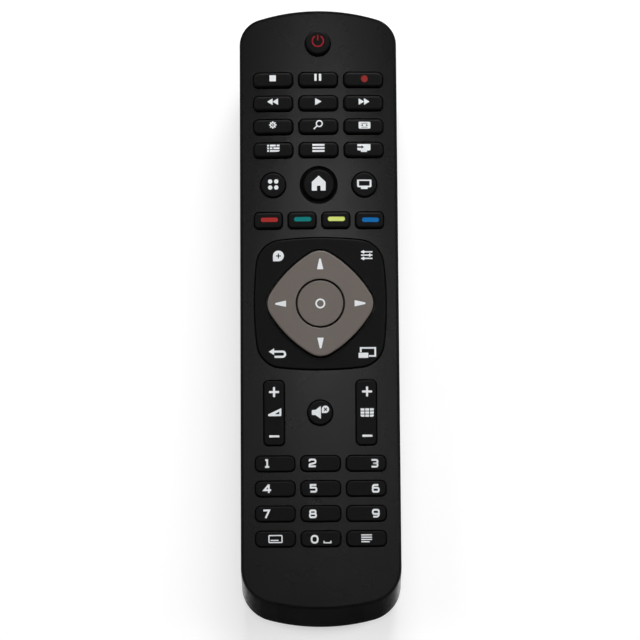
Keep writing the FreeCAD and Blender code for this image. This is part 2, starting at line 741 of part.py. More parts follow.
class KeyFamily:
    """Keys of one shape in a grid. draw(sketch, margin) adds the opening's loop."""

    def __init__(self, name, draw, x, y, columns=1, across=0, rows=1, along=0):
        self.name, self.draw = name, draw
        self.x, self.y = size_of(x), size_of(y)
        self.columns, self.across = columns, size_of(across)
        self.rows, self.along = rows, size_of(along)

    def place(self, row, column):
        """Centre of one key."""
        x = self.x + self.across * column if column else self.x
        y = self.y - self.along * row if row else self.y
        return x, y

    def solids(self, name, height, depth, *margins):
        """One body of the family's prisms, each between the loops of the margins given."""
        body = new_body(name)
        body.AllowCompound = True
        sketch = new_sketch(body, f"{name}_outline", height=height)
        for margin in margins:
            self.draw(sketch, margin, self.x, self.y)
        feature = pad(body, sketch, f"{name}_pad", depth)
        if self.columns * self.rows > 1:
            along = self.along if self.rows > 1 else None
            grid(body, sketch, feature, f"{name}_grid", self.across, self.columns, along,
                 self.rows)
        body.recompute(True)
        return body


def slots(width, length, corner):
    """A drawer of round-cornered openings, wider by a margin on every side."""
    def draw(sketch, margin, x=0, y=0):
        slot_loop(sketch, width + margin * 2, length + margin * 2, corner + margin, x, y)
    return draw


def rounds(radius):
    def draw(sketch, margin, x=0, y=0):
        round_loop(sketch, radius + margin, x, y)
    return draw


menu_shape = slots(s.menu_width, s.menu_length, s.menu_corner)
digit_shape = slots(s.digit_width, s.digit_length, s.digit_corner)
colour_shape = slots(s.colour_width, s.colour_length, s.colour_corner)
rocker_shape = slots(s.rocker_width, s.rocker_length, s.rocker_corner)
side_shape, home_shape = rounds(s.side_key_radius), rounds(s.home_radius)
power_shape, mute_shape = rounds(s.power_radius), rounds(s.mute_radius)

POWER = KeyFamily("power", power_shape, 0, s.power_y)
MENU = KeyFamily("menu", menu_shape, -s.menu_column_pitch, s.menu_top_y,
                 3, s.menu_column_pitch, 4, s.menu_row_pitch)
SIDE = KeyFamily("side", side_shape, -s.side_key_x, s.home_row_y, 2, s.side_key_x * 2)
HOME = KeyFamily("home", home_shape, 0, s.home_row_y)
COLOUR = KeyFamily("colour", colour_shape, s.colour_pitch * -1.5, s.colour_y, 4, s.colour_pitch)
MUTE = KeyFamily("mute", mute_shape, 0, s.rocker_y)
DIGITS = KeyFamily("digits", digit_shape, -s.digit_column_pitch, s.digit_top_y,
                   3, s.digit_column_pitch, 4, s.digit_row_pitch)
ROCKERS = KeyFamily("rockers", rocker_shape, -s.rocker_x, s.rocker_y, 2, s.rocker_x * 2)
STRAIGHT_FAMILIES = [POWER, MENU, SIDE, HOME, COLOUR, MUTE, DIGITS]


def panel_outline(sketch, outset=0):
    bulged_loop(sketch, s.panel_half_width, s.panel_half_length, s.panel_side_radius,
                s.panel_corner_radius, outset)


def pad_outline(sketch, outset=0):
    bulged_loop(sketch, s.pad_half_diagonal, s.pad_half_diagonal, s.pad_tip_radius,
                s.pad_side_radius, outset)


def switch_places():
    """Every point where a stem meets the board."""
    places = []
    for family in STRAIGHT_FAMILIES:
        for row in range(family.rows):
            for column in range(family.columns):
                places.append(family.place(row, column))
    for column in range(2):
        for side in SIDES:
            x, y = ROCKERS.place(0, column)
            places.append((x, y + s.rocker_stem_y * side))
    places.append((s.nav_x, s.nav_y))
    for side in SIDES:
        places.append((s.nav_x + s.pad_stem * side, s.nav_y))
        places.append((s.nav_x, s.nav_y + s.pad_stem * side))
        for other in SIDES:
            places.append((s.nav_x + s.panel_stem * side, s.nav_y + s.panel_stem * other))
    return places


# The two case halves

def nav_form(name, height, depth, outset):
    """A solid of the corner panel's outline, set at the cluster's centre."""
    body = new_body(name, at=(s.nav_x, s.nav_y, 0))
    sketch = new_sketch(body, f"{name}_outline", height=height)
    panel_outline(sketch, outset)
    pad(body, sketch, f"{name}_block", depth)
    body.recompute(True)
    return body


def half_case(name, shell, up):
    """The shell on one side of the parting: below it if up cuts upwards."""
    body = new_body(name, base=shell)
    parting = new_sketch(body, f"{name}_parting", height=s.parting_height)
    box_loop(parting, -s.bottom_half_width * 2, s.bottom_half_width * 2, s.plate_bottom * -2,
             s.plate_top * 2)
    pocket(body, parting, f"{name}_parting_cut", s.front_height * 2, up=up)
    return body


def make_front_case(shell, window_block):
    body = half_case("front_half", shell, up=False)
    lip = new_sketch(body, "front_rebate", height=s.parting_height)
    plan_loop(lip, s.parting_height, s.wall - s.lip_thickness - s.lip_gap)
    pocket(body, lip, "front_rebate_cut", s.lip_height + s.lip_gap, leaning=True)
    bosses = [cylinder(f"front_boss_{side + 1}", s.boss_radius,
                       ceiling - s.parting_height + s.wall / 4, s.screw_x * side, s.screw_y,
                       s.parting_height) for side in SIDES]
    tools = [cylinder(f"front_pilot_{side + 1}", s.screw_radius + s.thread_gap,
                      s.screw_reach + s.wall / 2, s.screw_x * side, s.screw_y,
                      s.parting_height) for side in SIDES]
    tools.append(nav_form("panel_opening", s.key_seat - s.wall / 2, s.front_height, s.key_gap))
    tools.append(window_block)
    for family in STRAIGHT_FAMILIES + [ROCKERS]:
        tools.append(family.solids(f"{family.name}_openings", s.key_seat, s.front_height, 0))
    full = fused("front_with_bosses", [body, *bosses])
    return keep("front_case", combine("Cut", "front_opened", full,
                                      group_of("front_cuts", tools)))


def make_rear_case(form, shell):
    body = half_case("rear_half", shell, up=True)
    lip = new_sketch(body, "rear_lip", height=s.parting_height)
    plan_loop(lip, s.parting_height, s.wall - s.lip_thickness)
    plan_loop(lip, s.parting_height, s.wall)
    pad(body, lip, "rear_lip_pad", s.lip_height, leaning=True)
    body.recompute(True)

    roof_top, roof_bottom, tray_half, tray_front, tray_tail = tray_sizes()
    floor_bottom = s.door_thickness + s.door_gap
    floor_half = s.door_half_width + s.door_floor_margin
    tail = -s.plate_bottom - (s.front_height - s.back_edge_radius) * s.end_slope + s.wall
    wide = tray_half + s.tray_wall
    added = [
        block("door_floor", -floor_half, tail, s.wall / 2, floor_half * 2,
              s.door_front_y + s.door_floor_margin - tail,
              floor_bottom + s.door_floor - s.wall / 2),
        block("tray_outside", -wide, tray_tail - s.tray_wall, floor_bottom, wide * 2,
              tray_front - tray_tail + s.tray_wall * 2, roof_top - floor_bottom),
    ]
    half_zone = s.door_half_width + s.door_gap
    half_groove = s.door_half_width + s.tongue_width + s.door_gap
    far = s.plate_bottom * 2
    front_edge = s.door_front_y + s.door_gap
    cuts = [
        block("door_zone", -half_zone, -far, -s.wall, half_zone * 2, far + front_edge,
              floor_bottom + s.wall),
        block("runner_groove", -half_groove, -far, s.tongue_bottom - s.tongue_gap,
              half_groove * 2, far + front_edge, s.tongue_thickness + s.tongue_gap * 2),
        block("tray_inside", -tray_half, tray_tail, s.wall / 2, tray_half * 2,
              tray_front - tray_tail, roof_bottom - s.wall / 2),
    ]
    for side in SIDES:
        x = s.screw_x * side
        added.append(cylinder(f"rear_boss_{side + 1}", s.boss_radius,
                              s.parting_height - floor_bottom, x, s.screw_y, floor_bottom))
        for name, y in (("low", s.post_low_y), ("high", s.post_high_y)):
            foot = (y - s.rise_start) * s.rise_slope + s.wall / 2
            added.append(cylinder(f"{name}_post_{side + 1}", s.post_radius, board_bottom - foot,
                                  s.post_x * side, y, foot))
        cuts.append(cylinder(f"screw_seat_{side + 1}", s.screw_head_radius + s.screw_gap,
                             s.screw_head_height + s.screw_gap + s.wall, x, s.screw_y,
                             floor_bottom - s.wall))
        cuts.append(cylinder(f"screw_hole_{side + 1}", s.screw_radius + s.screw_gap,
                             s.front_height, x, s.screw_y, floor_bottom))
        half_slot, deep = s.tab_width / 2 + s.tongue_gap, s.plate_thickness + s.tongue_gap
        for name, y in (("front", tray_front - deep), ("tail", tray_tail)):
            cuts.append(block(f"{name}_tab_slot_{side + 1}", s.cell_x * side - half_slot, y,
                              roof_bottom - s.wall / 4, half_slot * 2, deep,
                              s.tray_wall * 2))
    inside = combine("Common", "rear_inside", form, fused("rear_added", added))
    full = fused("rear_with_tray", [body, inside])
    return keep("rear_case", combine("Cut", "rear_cut", full, group_of("rear_cuts", cuts)))


def tray_sizes():
    """Roof top, roof underside, half width, inner front and inner tail of the tray."""
    roof_bottom = s.door_thickness + s.cell_play * 2 + s.cell_radius * 2
    half = s.cell_x + s.cell_radius + s.tray_side_gap
    length = (s.cell_length + s.spring_length + s.plate_thickness * 2 + s.nub_clearance)
    return board_bottom, roof_bottom, half, s.tray_front_y, s.tray_front_y - length


def make_battery_door(form):
    slab = block("door_slab", -s.door_half_width, s.plate_bottom * -2, -s.wall,
                 s.door_half_width * 2, s.plate_bottom * 2 + s.door_front_y,
                 s.door_thickness + s.wall)
    body = new_body("door", base=combine("Common", "door_blank", form, slab))
    runners = new_sketch(body, "door_runners", height=s.tongue_bottom)
    edge = s.door_half_width + s.tongue_width
    box_loop(runners, -edge, edge, -s.tongue_end_y, s.door_front_y - s.door_gap)
    pad(body, runners, "door_runner_pad", s.tongue_thickness)
    grip = new_sketch(body, "grip_groove")
    box_loop(grip, s.grip_width / -2, s.grip_width / 2, s.grip_y - s.grip_line, s.grip_y)
    cut = pocket(body, grip, "grip_groove_cut", s.grip_depth, up=True)
    pattern = body.newObject("PartDesign::LinearPattern", "grip_ribs")
    pattern.Originals = [cut]
    pattern.Direction = (grip, ["V_Axis"])
    pattern.Reversed = True
    pattern.Occurrences = 5
    bind(pattern, Length=s.grip_pitch * 4)
    body.Tip = pattern
    return keep("battery_door", body)


# Keys

def key_stem(body, name, seat, depth, radius, places):
    """Round stems from the key's seat down towards the board."""
    sketch = new_sketch(body, f"{name}_stems", height=seat)
    for x, y in places:
        round_loop(sketch, radius, x, y)
    stems = pad(body, sketch, f"{name}_stem_pad", depth)
    stems.Reversed = True
    if not refresh(body).BoundBox.ZMin < seat.value - depth.value / 2:
        raise RuntimeError(f"stems of {name} point the wrong way")


def make_key(name, family, row, column, rise, edge, gap=None):
    """A key cap with its crown, edge round, retaining flange and stem."""
    x, y = family.place(row, column)
    gap = s.key_gap if gap is None else gap
    body = new_body(f"{name}_body", at=(x, y, 0))
    cap = new_sketch(body, f"{name}_cap", height=s.key_seat)
    family.draw(cap, -gap)
    pad(body, cap, f"{name}_cap_pad", s.front_height + rise + s.wall - s.key_seat)
    crown = new_sketch(body, f"{name}_crown", "XZ_Plane")
    crown_loop(crown, rise, x)
    pocket(body, crown, f"{name}_crown_cut", both_ways=True)
    dress(body, "Fillet", f"{name}_edge", top_face(body.Tip.Shape).Edges, edge)
    flange = new_sketch(body, f"{name}_flange", height=s.key_seat)
    family.draw(flange, s.flange_margin)
    pad(body, flange, f"{name}_flange_pad", s.flange_thickness)
    depth = s.key_seat - contact_top - s.key_travel - s.contact_gap
    key_stem(body, name, s.key_seat, depth, s.plunger_radius, [(0, 0)])
    keep(name, body)


def make_rocker(name, column):
    """A rocker that turns about its middle, with a stem under each end."""
    x, y = ROCKERS.place(0, column)
    body = new_body(f"{name}_body", at=(x, y, 0))
    cap = new_sketch(body, f"{name}_cap", height=s.rocker_seat)
    ROCKERS.draw(cap, -s.key_gap)
    pad(body, cap, f"{name}_cap_pad", s.front_height + s.rocker_rise + s.wall - s.rocker_seat)
    crown = new_sketch(body, f"{name}_crown", "XZ_Plane")
    crown_loop(crown, s.rocker_rise, x)
    pocket(body, crown, f"{name}_crown_cut", both_ways=True)
    dress(body, "Fillet", f"{name}_edge", top_face(body.Tip.Shape).Edges, s.digit_round)
    flange = new_sketch(body, f"{name}_flange", height=s.rocker_seat)
    ROCKERS.draw(flange, s.flange_margin)
    pad(body, flange, f"{name}_flange_pad", s.rocker_flange)
    depth = s.rocker_seat - contact_top - s.rocker_dip
    key_stem(body, name, s.rocker_seat, depth, s.tilt_stem_radius,
             [(0, s.rocker_stem_y * side) for side in SIDES])
    keep(name, body)


def crown_top(body, name, rise, edge):
    crown = new_sketch(body, f"{name}_crown", "XZ_Plane")
    crown_loop(crown, rise, s.nav_x)
    pocket(body, crown, f"{name}_crown_cut", both_ways=True)
    face = top_face(body.Tip.Shape)
    dress(body, "Fillet", f"{name}_edge", face.OuterWire.Edges, edge)


def frame_pad(body, name, outline, outset, inset, height, depth):
    """A band between two copies of an outline."""
    sketch = new_sketch(body, name, height=height)
    outline(sketch, outset)
    outline(sketch, -inset)
    pad(body, sketch, f"{name}_pad", depth)


def make_corner_panel():
    """The square panel with four corner keys, with a diamond opening for the direction pad."""
    body = new_body("panel_body", at=(s.nav_x, s.nav_y, 0))
    plate = new_sketch(body, "panel_plate", height=s.cap_underside)
    panel_outline(plate)
    pad(body, plate, "panel_plate_pad", s.front_height + s.wall - s.cap_underside)
    crown_top(body, "panel", s.panel_rise, s.panel_round)
    opening = new_sketch(body, "panel_diamond", height=s.key_seat)
    pad_outline(opening, s.pad_gap)
    pocket(body, opening, "panel_diamond_cut", up=True)
    frame_pad(body, "panel_skirt", panel_outline, size_of(0), s.panel_wall, s.key_seat,
              s.cap_underside - s.key_seat + s.wall / 4)
    frame_pad(body, "panel_flange", panel_outline, s.key_gap + s.flange_margin, s.panel_wall,
              s.key_seat, s.panel_flange)
    depth = s.cap_underside - contact_top - s.panel_dip
    corners = [(s.panel_stem * a, s.panel_stem * b) for a in SIDES for b in SIDES]
    key_stem(body, "panel", s.cap_underside, depth, s.tilt_stem_radius, corners)
    keep("corner_panel", body)


def make_direction_pad():
    """The diamond ring with its arrows' stems and the bore for the select key."""
    body = new_body("pad_body", at=(s.nav_x, s.nav_y, 0))
    plate = new_sketch(body, "pad_plate", height=s.cap_underside)
    pad_outline(plate)
    pad(body, plate, "pad_plate_pad", s.front_height + s.pad_rise + s.wall - s.cap_underside)
    crown_top(body, "pad", s.pad_rise, s.pad_round)
    bore = new_sketch(body, "pad_bore", height=s.key_seat)
    round_loop(bore, s.select_radius + s.select_gap)
    pocket(body, bore, "pad_bore_cut", up=True)
    face = top_face(body.Tip.Shape)
    inner = [e for wire in face.Wires if not wire.isSame(face.OuterWire) for e in wire.Edges]
    dress(body, "Fillet", "pad_bore_edge", inner, s.select_edge)
    frame_pad(body, "pad_skirt", pad_outline, size_of(0), s.pad_wall, s.key_seat,
              s.cap_underside - s.key_seat + s.wall / 4)
    frame_pad(body, "pad_flange", pad_outline, s.pad_margin, s.pad_wall, s.key_seat,
              s.nav_flange)
    depth = s.cap_underside - contact_top - s.pad_dip
    places = [(s.pad_stem * side, 0) for side in SIDES]
    places += [(0, s.pad_stem * side) for side in SIDES]
    key_stem(body, "pad", s.cap_underside, depth, s.tilt_stem_radius, places)
    keep("dpad_ring", body)


def make_select_key():
    body = new_body("select_body", at=(s.nav_x, s.nav_y, 0))
    cap = new_sketch(body, "select_cap", height=s.key_seat)
    round_loop(cap, s.select_radius)
    pad(body, cap, "select_cap_pad", s.front_height + s.pad_rise + s.wall - s.key_seat)
    crown_top(body, "select", s.pad_rise, s.select_edge)
    flange = new_sketch(body, "select_flange", height=s.key_seat)
    round_loop(flange, s.select_radius + s.select_margin)
    pad(body, flange, "select_flange_pad", s.nav_flange)
    depth = s.key_seat - contact_top - s.key_travel - s.contact_gap
    key_stem(body, "select", s.key_seat, depth, s.plunger_radius, [(0, 0)])
    keep("ok_key", body)


def make_carrier(name, outline, outset):
    """A rubber band between the mat and a tilting key's skirt."""
    body = new_body(f"{name}_body", at=(s.nav_x, s.nav_y, 0))
    foot = mat_top + s.carrier_gap
    frame_pad(body, f"{name}_band", outline, outset, s.carrier_inset, foot, s.key_seat - foot)
    keep(name, body)


# Board, contacts and mat

def board_blank(name, height, thickness):
    """A flat piece inside the case walls that stops at the tail."""
    body = new_body(f"{name}_body")
    plan = new_sketch(body, f"{name}_plan", height=height)
    plan_loop(plan, board_bottom, s.wall + s.board_gap)
    pad(body, plan, f"{name}_sheet", thickness)
    tail = new_sketch(body, f"{name}_tail", height=height - s.wall)
    box_loop(tail, -s.bottom_half_width * 2, s.bottom_half_width * 2, s.plate_bottom * -2,
             -s.board_tail)
    pocket(body, tail, f"{name}_tail_cut", up=True)
    return body


def make_circuit_board():
    body = board_blank("board", board_bottom, s.board_thickness)
    return keep("circuit_board", body)


def make_contacts():
    pads = [cylinder(f"contact_{i}", s.contact_radius, s.contact_thickness, x, y, s.board_top)
            for i, (x, y) in enumerate(switch_places())]
    keep("carbon_contacts", group_of("contacts", pads))


def make_key_mat():
    """The rubber sheet: a skirt under each key's flange and a hole for each stem."""
    webs = []
    for family in STRAIGHT_FAMILIES + [ROCKERS]:
        top = s.rocker_seat if family is ROCKERS else s.key_seat
        webs.append(family.solids(f"{family.name}_webs", mat_top - s.mat_thickness / 2,
                                  top - mat_top + s.mat_thickness / 2, s.flange_margin,
                                  s.flange_margin - s.web_wall))
    select = KeyFamily("select", rounds(s.select_radius), s.nav_x, s.nav_y)
    webs.append(select.solids("select_web", mat_top - s.mat_thickness / 2,
                              s.key_seat - mat_top + s.mat_thickness / 2, s.select_margin,
                              s.select_margin - s.web_wall))
    sheet = board_blank("mat", s.board_top, s.mat_thickness)
    holes = [cylinder(f"stem_hole_{i}", s.mat_hole_radius, s.mat_thickness * 3, x, y,
                      s.board_top - s.mat_thickness)
             for i, (x, y) in enumerate(switch_places())]
    full = fused("mat_with_webs", [sheet, *webs])
    keep("keypad_mat", combine("Cut", "mat_with_holes", full, group_of("stem_holes", holes)))


# Battery parts

def make_cells_and_contacts():
    roof_top, roof_bottom, tray_half, tray_front, tray_tail = tray_sizes()
    axis_height = s.door_thickness + s.cell_play + s.cell_radius
    body_length = s.cell_length - s.nub_height
    plates, springs = [], []
    for side, name in ((-1, "cell_left"), (1, "cell_right")):
        x = s.cell_x * side
        # the left cell points towards the infrared end and the right cell away from it
        nub_wall, other_wall = (tray_front, tray_tail) if side < 0 else (tray_tail, tray_front)
        way = -side
        direction = Vector(0, way, 0)
        start = other_wall + (s.plate_thickness + s.spring_length) * way
        can = cylinder(f"{name}_can", s.cell_radius, body_length, x, start, axis_height, direction)
        nub = cylinder(f"{name}_nub", s.nub_radius, s.nub_height, x, start + body_length * way,
                       axis_height, direction)
        keep(name, fused(f"{name}_solid", [can, nub]))
        for wall, end in ((nub_wall, "positive"), (other_wall, "negative")):
            low = wall - s.plate_thickness if wall is tray_front else wall
            face = block(f"{name}_{end}_plate", x - s.plate_width / 2, low,
                         axis_height - s.plate_height / 2, s.plate_width, s.plate_thickness,
                         s.plate_height)
            tab = block(f"{name}_{end}_tab", x - s.tab_width / 2, low, axis_height, s.tab_width,
                        s.plate_thickness, roof_top - axis_height)
            plates.append(fused(f"{name}_{end}_contact", [face, tab]))
        springs.append(make_spring(f"{name}_spring", x, other_wall + s.plate_thickness * way,
                                   axis_height, direction))
    keep("battery_contacts", group_of("contact_plates", plates))
    keep("battery_springs", group_of("springs", springs))


def make_spring(name, x, y, z, direction):
    """A conical coil, widest at its plate, wound along the cell's axis."""
    wire = s.spring_wire
    rise = s.spring_length - wire * 2
    helix = document.addObject("Part::Helix", f"{name}_line")
    bind(helix, Pitch=rise / s.spring_turns, Height=rise, Radius=s.spring_radius,
         Angle=-s.spring_taper)
    section = document.addObject("Part::Circle", f"{name}_section")
    section.Placement = FreeCAD.Placement(Vector(), FreeCAD.Rotation(Vector(1, 0, 0), 90))
    bind(section, Radius=wire, Placement__Base__x=s.spring_radius)
    document.recompute()
    sweep = document.addObject("Part::Sweep", name)
    sweep.Sections = [section]
    sweep.Spine = (helix, [f"Edge{i + 1}" for i in range(len(helix.Shape.Edges))])
    sweep.Solid = True
    sweep.Frenet = True
    document.recompute()
    sweep.Placement = FreeCAD.Placement(Vector(), FreeCAD.Rotation(Vector(0, 0, 1), direction))
    bind(sweep, Placement__Base__x=x, Placement__Base__y=y + wire * direction.y,
         Placement__Base__z=z)
    document.recompute()
    return sweep


# Fasteners and electronics

def make_screws():
    seat = s.door_thickness + s.door_gap + s.screw_head_height + s.screw_gap
    screws = []
    for side in SIDES:
        x = s.screw_x * side
        head = cylinder(f"screw_head_{side + 1}", s.screw_head_radius, s.screw_head_height, x,
                        s.screw_y, seat - s.screw_head_height)
        shank = cylinder(f"screw_shank_{side + 1}", s.screw_radius,
                         s.parting_height - seat + s.screw_reach, x, s.screw_y, seat)
        screws.append(fused(f"screw_{side + 1}", [head, shank]))
    keep("case_screws", group_of("screws", screws))


def make_lamp():
    """The infrared lamp behind the window, with two legs bent up to the board."""
    forward = Vector(0, 1, 0)
    z, back = s.lamp_height, s.lamp_back_y
    rim = cylinder("lamp_rim", s.lamp_radius + s.lamp_rim, s.lamp_rim_length, 0, back, z, forward)
    barrel = cylinder("lamp_barrel", s.lamp_radius, s.lamp_barrel, 0, back, z, forward)
    dome = document.addObject("Part::Sphere", "lamp_dome")
    bind(dome, Radius=s.lamp_radius, Placement__Base__y=back + s.lamp_barrel,
         Placement__Base__z=z)
    pieces = [rim, barrel, dome]
    half = s.leg_width / 2
    for side in SIDES:
        x = s.leg_spacing / 2 * side - half
        pieces.append(block(f"lamp_leg_{side + 1}", x, back - s.leg_length, z - half,
                            s.leg_width, s.leg_length, s.leg_width))
        pieces.append(block(f"lamp_foot_{side + 1}", x, back - s.leg_length, z - half,
                            s.leg_width, s.leg_width, board_bottom - z + half))
    keep("ir_led", fused("lamp", pieces))


def make_board_parts():
    top = board_bottom - s.chip_standoff
    half_width, half_length = s.chip_width / 2, s.chip_length / 2
    pieces = [block("chip_case", -half_width, s.chip_y - half_length, top - s.chip_height,
                    s.chip_width, s.chip_length, s.chip_height)]
    feet = 8
    for side in SIDES:
        for i in range(feet):
            low = s.chip_foot * -1 - half_width if side < 0 else half_width
            y = s.chip_y + s.chip_foot_pitch * (i - (feet - 1) / 2) - s.chip_foot_width / 2
            pieces.append(block(f"chip_foot_{side + 1}_{i}", low, y,
                                board_bottom - s.chip_foot_width, s.chip_foot,
                                s.chip_foot_width, s.chip_foot_width))
    keep("controller_chip", fused("chip", pieces))

    can = new_body("resonator_body", at=(s.resonator_x, s.resonator_y, 0))
    sketch = new_sketch(can, "resonator_outline", height=board_bottom - s.resonator_height)
    slot_loop(sketch, s.resonator_length, s.resonator_width, s.resonator_width * 0.45)
    pad(can, sketch, "resonator_can", s.resonator_height)
    keep("resonator", can)

    barrel = cylinder("capacitor_barrel", s.capacitor_radius, s.capacitor_length, s.capacitor_x,
                      s.capacitor_y, board_bottom - s.capacitor_radius - s.capacitor_gap,
                      Vector(1, 0, 0))
    keep("capacitor", barrel)


def make_keys():
    make_key("power_key", POWER, 0, 0, s.power_rise, s.power_round)
    for row, names in enumerate(MENU_KEYS):
        for column, name in enumerate(names):
            make_key(name, MENU, row, column, s.menu_rise, s.menu_round)
    make_key("apps_key", SIDE, 0, 0, s.side_key_rise, s.round_key_edge)
    make_key("home_key", HOME, 0, 0, s.home_rise, s.round_key_edge, s.home_gap)
    make_key("screen_key", SIDE, 0, 1, s.side_key_rise, s.round_key_edge)
    for column, name in enumerate(COLOUR_KEYS):
        make_key(name, COLOUR, 0, column, s.colour_rise, s.colour_round)
    make_key("mute_key", MUTE, 0, 0, s.side_key_rise, s.round_key_edge)
    for row, names in enumerate(DIGIT_KEYS):
        for column, name in enumerate(names):
            make_key(name, DIGITS, row, column, s.digit_rise, s.digit_round)
    make_rocker("volume_rocker", 0)
    make_rocker("programme_rocker", 1)
    make_corner_panel()
    make_direction_pad()
    make_select_key()


def check_document():
    """Stop if any object failed or any node's shape is empty or broken."""
    document.recompute()
    failed = [f"{o.Name} {o.State}" for o in document.Objects
              if "Invalid" in o.State or "Error" in o.State]
    for name, thing in NODES.items():
        shape = thing.Shape
        if shape.isNull() or not shape.isValid() or not shape.Solids:
            failed.append(f"{name} has no valid solid")
    if failed:
        raise RuntimeError("; ".join(failed))


def main():
    form = make_case_form()
    shell = make_shell(form)
    window = block("window_block", -s.window_half_width, s.power_y - s.wall, s.window_bottom,
                   s.window_half_width * 2, s.plate_top, s.window_top - s.window_bottom)
    make_front_case(shell, window)
    make_rear_case(form, shell)
    make_battery_door(form)
    keep("ir_window", combine("Common", "window_piece", shell, window))
    make_circuit_board()
    make_contacts()
    make_key_mat()
    make_keys()
    make_carrier("panel_carrier", panel_outline, s.key_gap + s.flange_margin)
    make_carrier("dpad_carrier", pad_outline, s.pad_margin)
    make_cells_and_contacts()
    make_screws()
    make_lamp()
    make_board_parts()
    check_document()
    os.makedirs("parts", exist_ok=True)
    for name, thing in NODES.items():
        thing.Shape.exportStep(os.path.join("parts", f"{name}.step"))
        print(name, len(thing.Shape.Solids), round(thing.Shape.Volume, 1))


main()
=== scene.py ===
"""Looks of a television remote control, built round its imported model.

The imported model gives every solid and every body. This script adds the finishes, the printed
marks on the keys, the studio and the camera. Lengths are in metres. Only the marks are drawn in
millimetres, and so are the values whose names end in _mm.
"""

from __future__ import annotations

import json
import logging
import math
from collections.abc import Callable, Iterable
from dataclasses import dataclass, fields
from enum import Enum

import bpy
from mathutils import Matrix, Vector

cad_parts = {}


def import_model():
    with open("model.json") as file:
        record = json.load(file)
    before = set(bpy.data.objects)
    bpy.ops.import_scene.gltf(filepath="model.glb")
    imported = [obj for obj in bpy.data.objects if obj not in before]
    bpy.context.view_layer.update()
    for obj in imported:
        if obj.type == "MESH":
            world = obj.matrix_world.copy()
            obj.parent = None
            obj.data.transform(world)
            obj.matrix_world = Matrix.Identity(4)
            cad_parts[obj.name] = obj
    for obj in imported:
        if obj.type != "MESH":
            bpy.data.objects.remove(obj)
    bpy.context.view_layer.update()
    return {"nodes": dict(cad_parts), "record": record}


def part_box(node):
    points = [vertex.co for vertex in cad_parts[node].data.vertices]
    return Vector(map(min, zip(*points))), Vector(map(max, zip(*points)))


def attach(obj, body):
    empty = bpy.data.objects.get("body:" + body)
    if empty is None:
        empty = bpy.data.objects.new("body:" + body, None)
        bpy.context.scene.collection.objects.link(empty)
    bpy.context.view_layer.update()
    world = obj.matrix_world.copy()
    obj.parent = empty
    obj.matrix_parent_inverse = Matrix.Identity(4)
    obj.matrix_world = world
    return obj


LOG = logging.getLogger("remote_control")
MM = 0.001

Pair = tuple[float, float]
Loop = list[Pair]
Layer = list[Loop]
Colour = tuple[float, float, float]
Place = tuple[float, float, float]
Socket = bpy.types.NodeSocket
Sockets = dict[str, Socket]


class Ink(Enum):
    """Linear colours of the printed marks."""

    WHITE = (0.800, 0.830, 0.850)
    RED = (0.300, 0.010, 0.018)
    RECORD = (0.260, 0.022, 0.020)
    BAR_RED = (0.370, 0.024, 0.022)
    BAR_GREEN = (0.001, 0.190, 0.182)
    BAR_YELLOW = (0.640, 0.740, 0.180)
    BAR_BLUE = (0.001, 0.138, 0.410)

    @property
    def finish(self) -> str:
        """Name of the ink's finish."""
        return f"ink_{self.name.lower()}"


# Node trees


class Tree:
    """A short way to fill a shader node tree.

    Args:
        tree: the node tree of a material or of a node group.
    """

    def __init__(self, tree: bpy.types.NodeTree) -> None:
        """Keep the tree that the nodes go into."""
        self.tree = tree

    def node(self, kind: str, sockets: dict[str, object] | None = None,
             **properties: object) -> bpy.types.Node:
        """Add a node.

        Args:
            kind: the node's type name.
            sockets: values or output sockets for named inputs.
            properties: values for the node's own properties.
        """
        made = self.tree.nodes.new(kind)
        for name, value in properties.items():
            setattr(made, name, value)
        for name, value in (sockets or {}).items():
            self.feed(made.inputs[name], value)
        return made

    def feed(self, socket: Socket, value: object) -> None:
        """Link an output to a socket, or set the socket's own value."""
        if isinstance(value, Socket):
            self.tree.links.new(value, socket)
        else:
            socket.default_value = value

    def noise(self, vector: Socket, scale: object, detail: float = 2.0,
              rough: float = 0.5) -> Socket:
        """Noise between 0 and 1, with its scale in cells per metre."""
        made = self.node("ShaderNodeTexNoise", {"Vector": vector, "Scale": scale,
                                                "Detail": detail, "Roughness": rough})
        return made.outputs["Fac"]

    def ramp(self, value: Socket, low: object, high: object,
             to_low: object = 0.0, to_high: object = 1.0) -> Socket:
        """Stretch a value from one range to another, clamped."""
        made = self.node("ShaderNodeMapRange", {"Value": value, "From Min": low,
                                                "From Max": high, "To Min": to_low,
                                                "To Max": to_high})
        return made.outputs["Result"]

    def math(self, operation: str, first: object, second: object) -> Socket:
        """Arithmetic on two values."""
        made = self.node("ShaderNodeMath", operation=operation)
        self.feed(made.inputs[0], first)
        self.feed(made.inputs[1], second)
        return made.outputs[0]

    def mix(self, share: object, first: object, second: object) -> Socket:
        """Mix two colours."""
        made = self.node("ShaderNodeMix", data_type="RGBA")
        self.feed(made.inputs["Factor"], share)
        colours = [s for s in made.inputs if s.type == "RGBA"]
        self.feed(colours[0], first)
        self.feed(colours[1], second)
        return next(s for s in made.outputs if s.type == "RGBA")


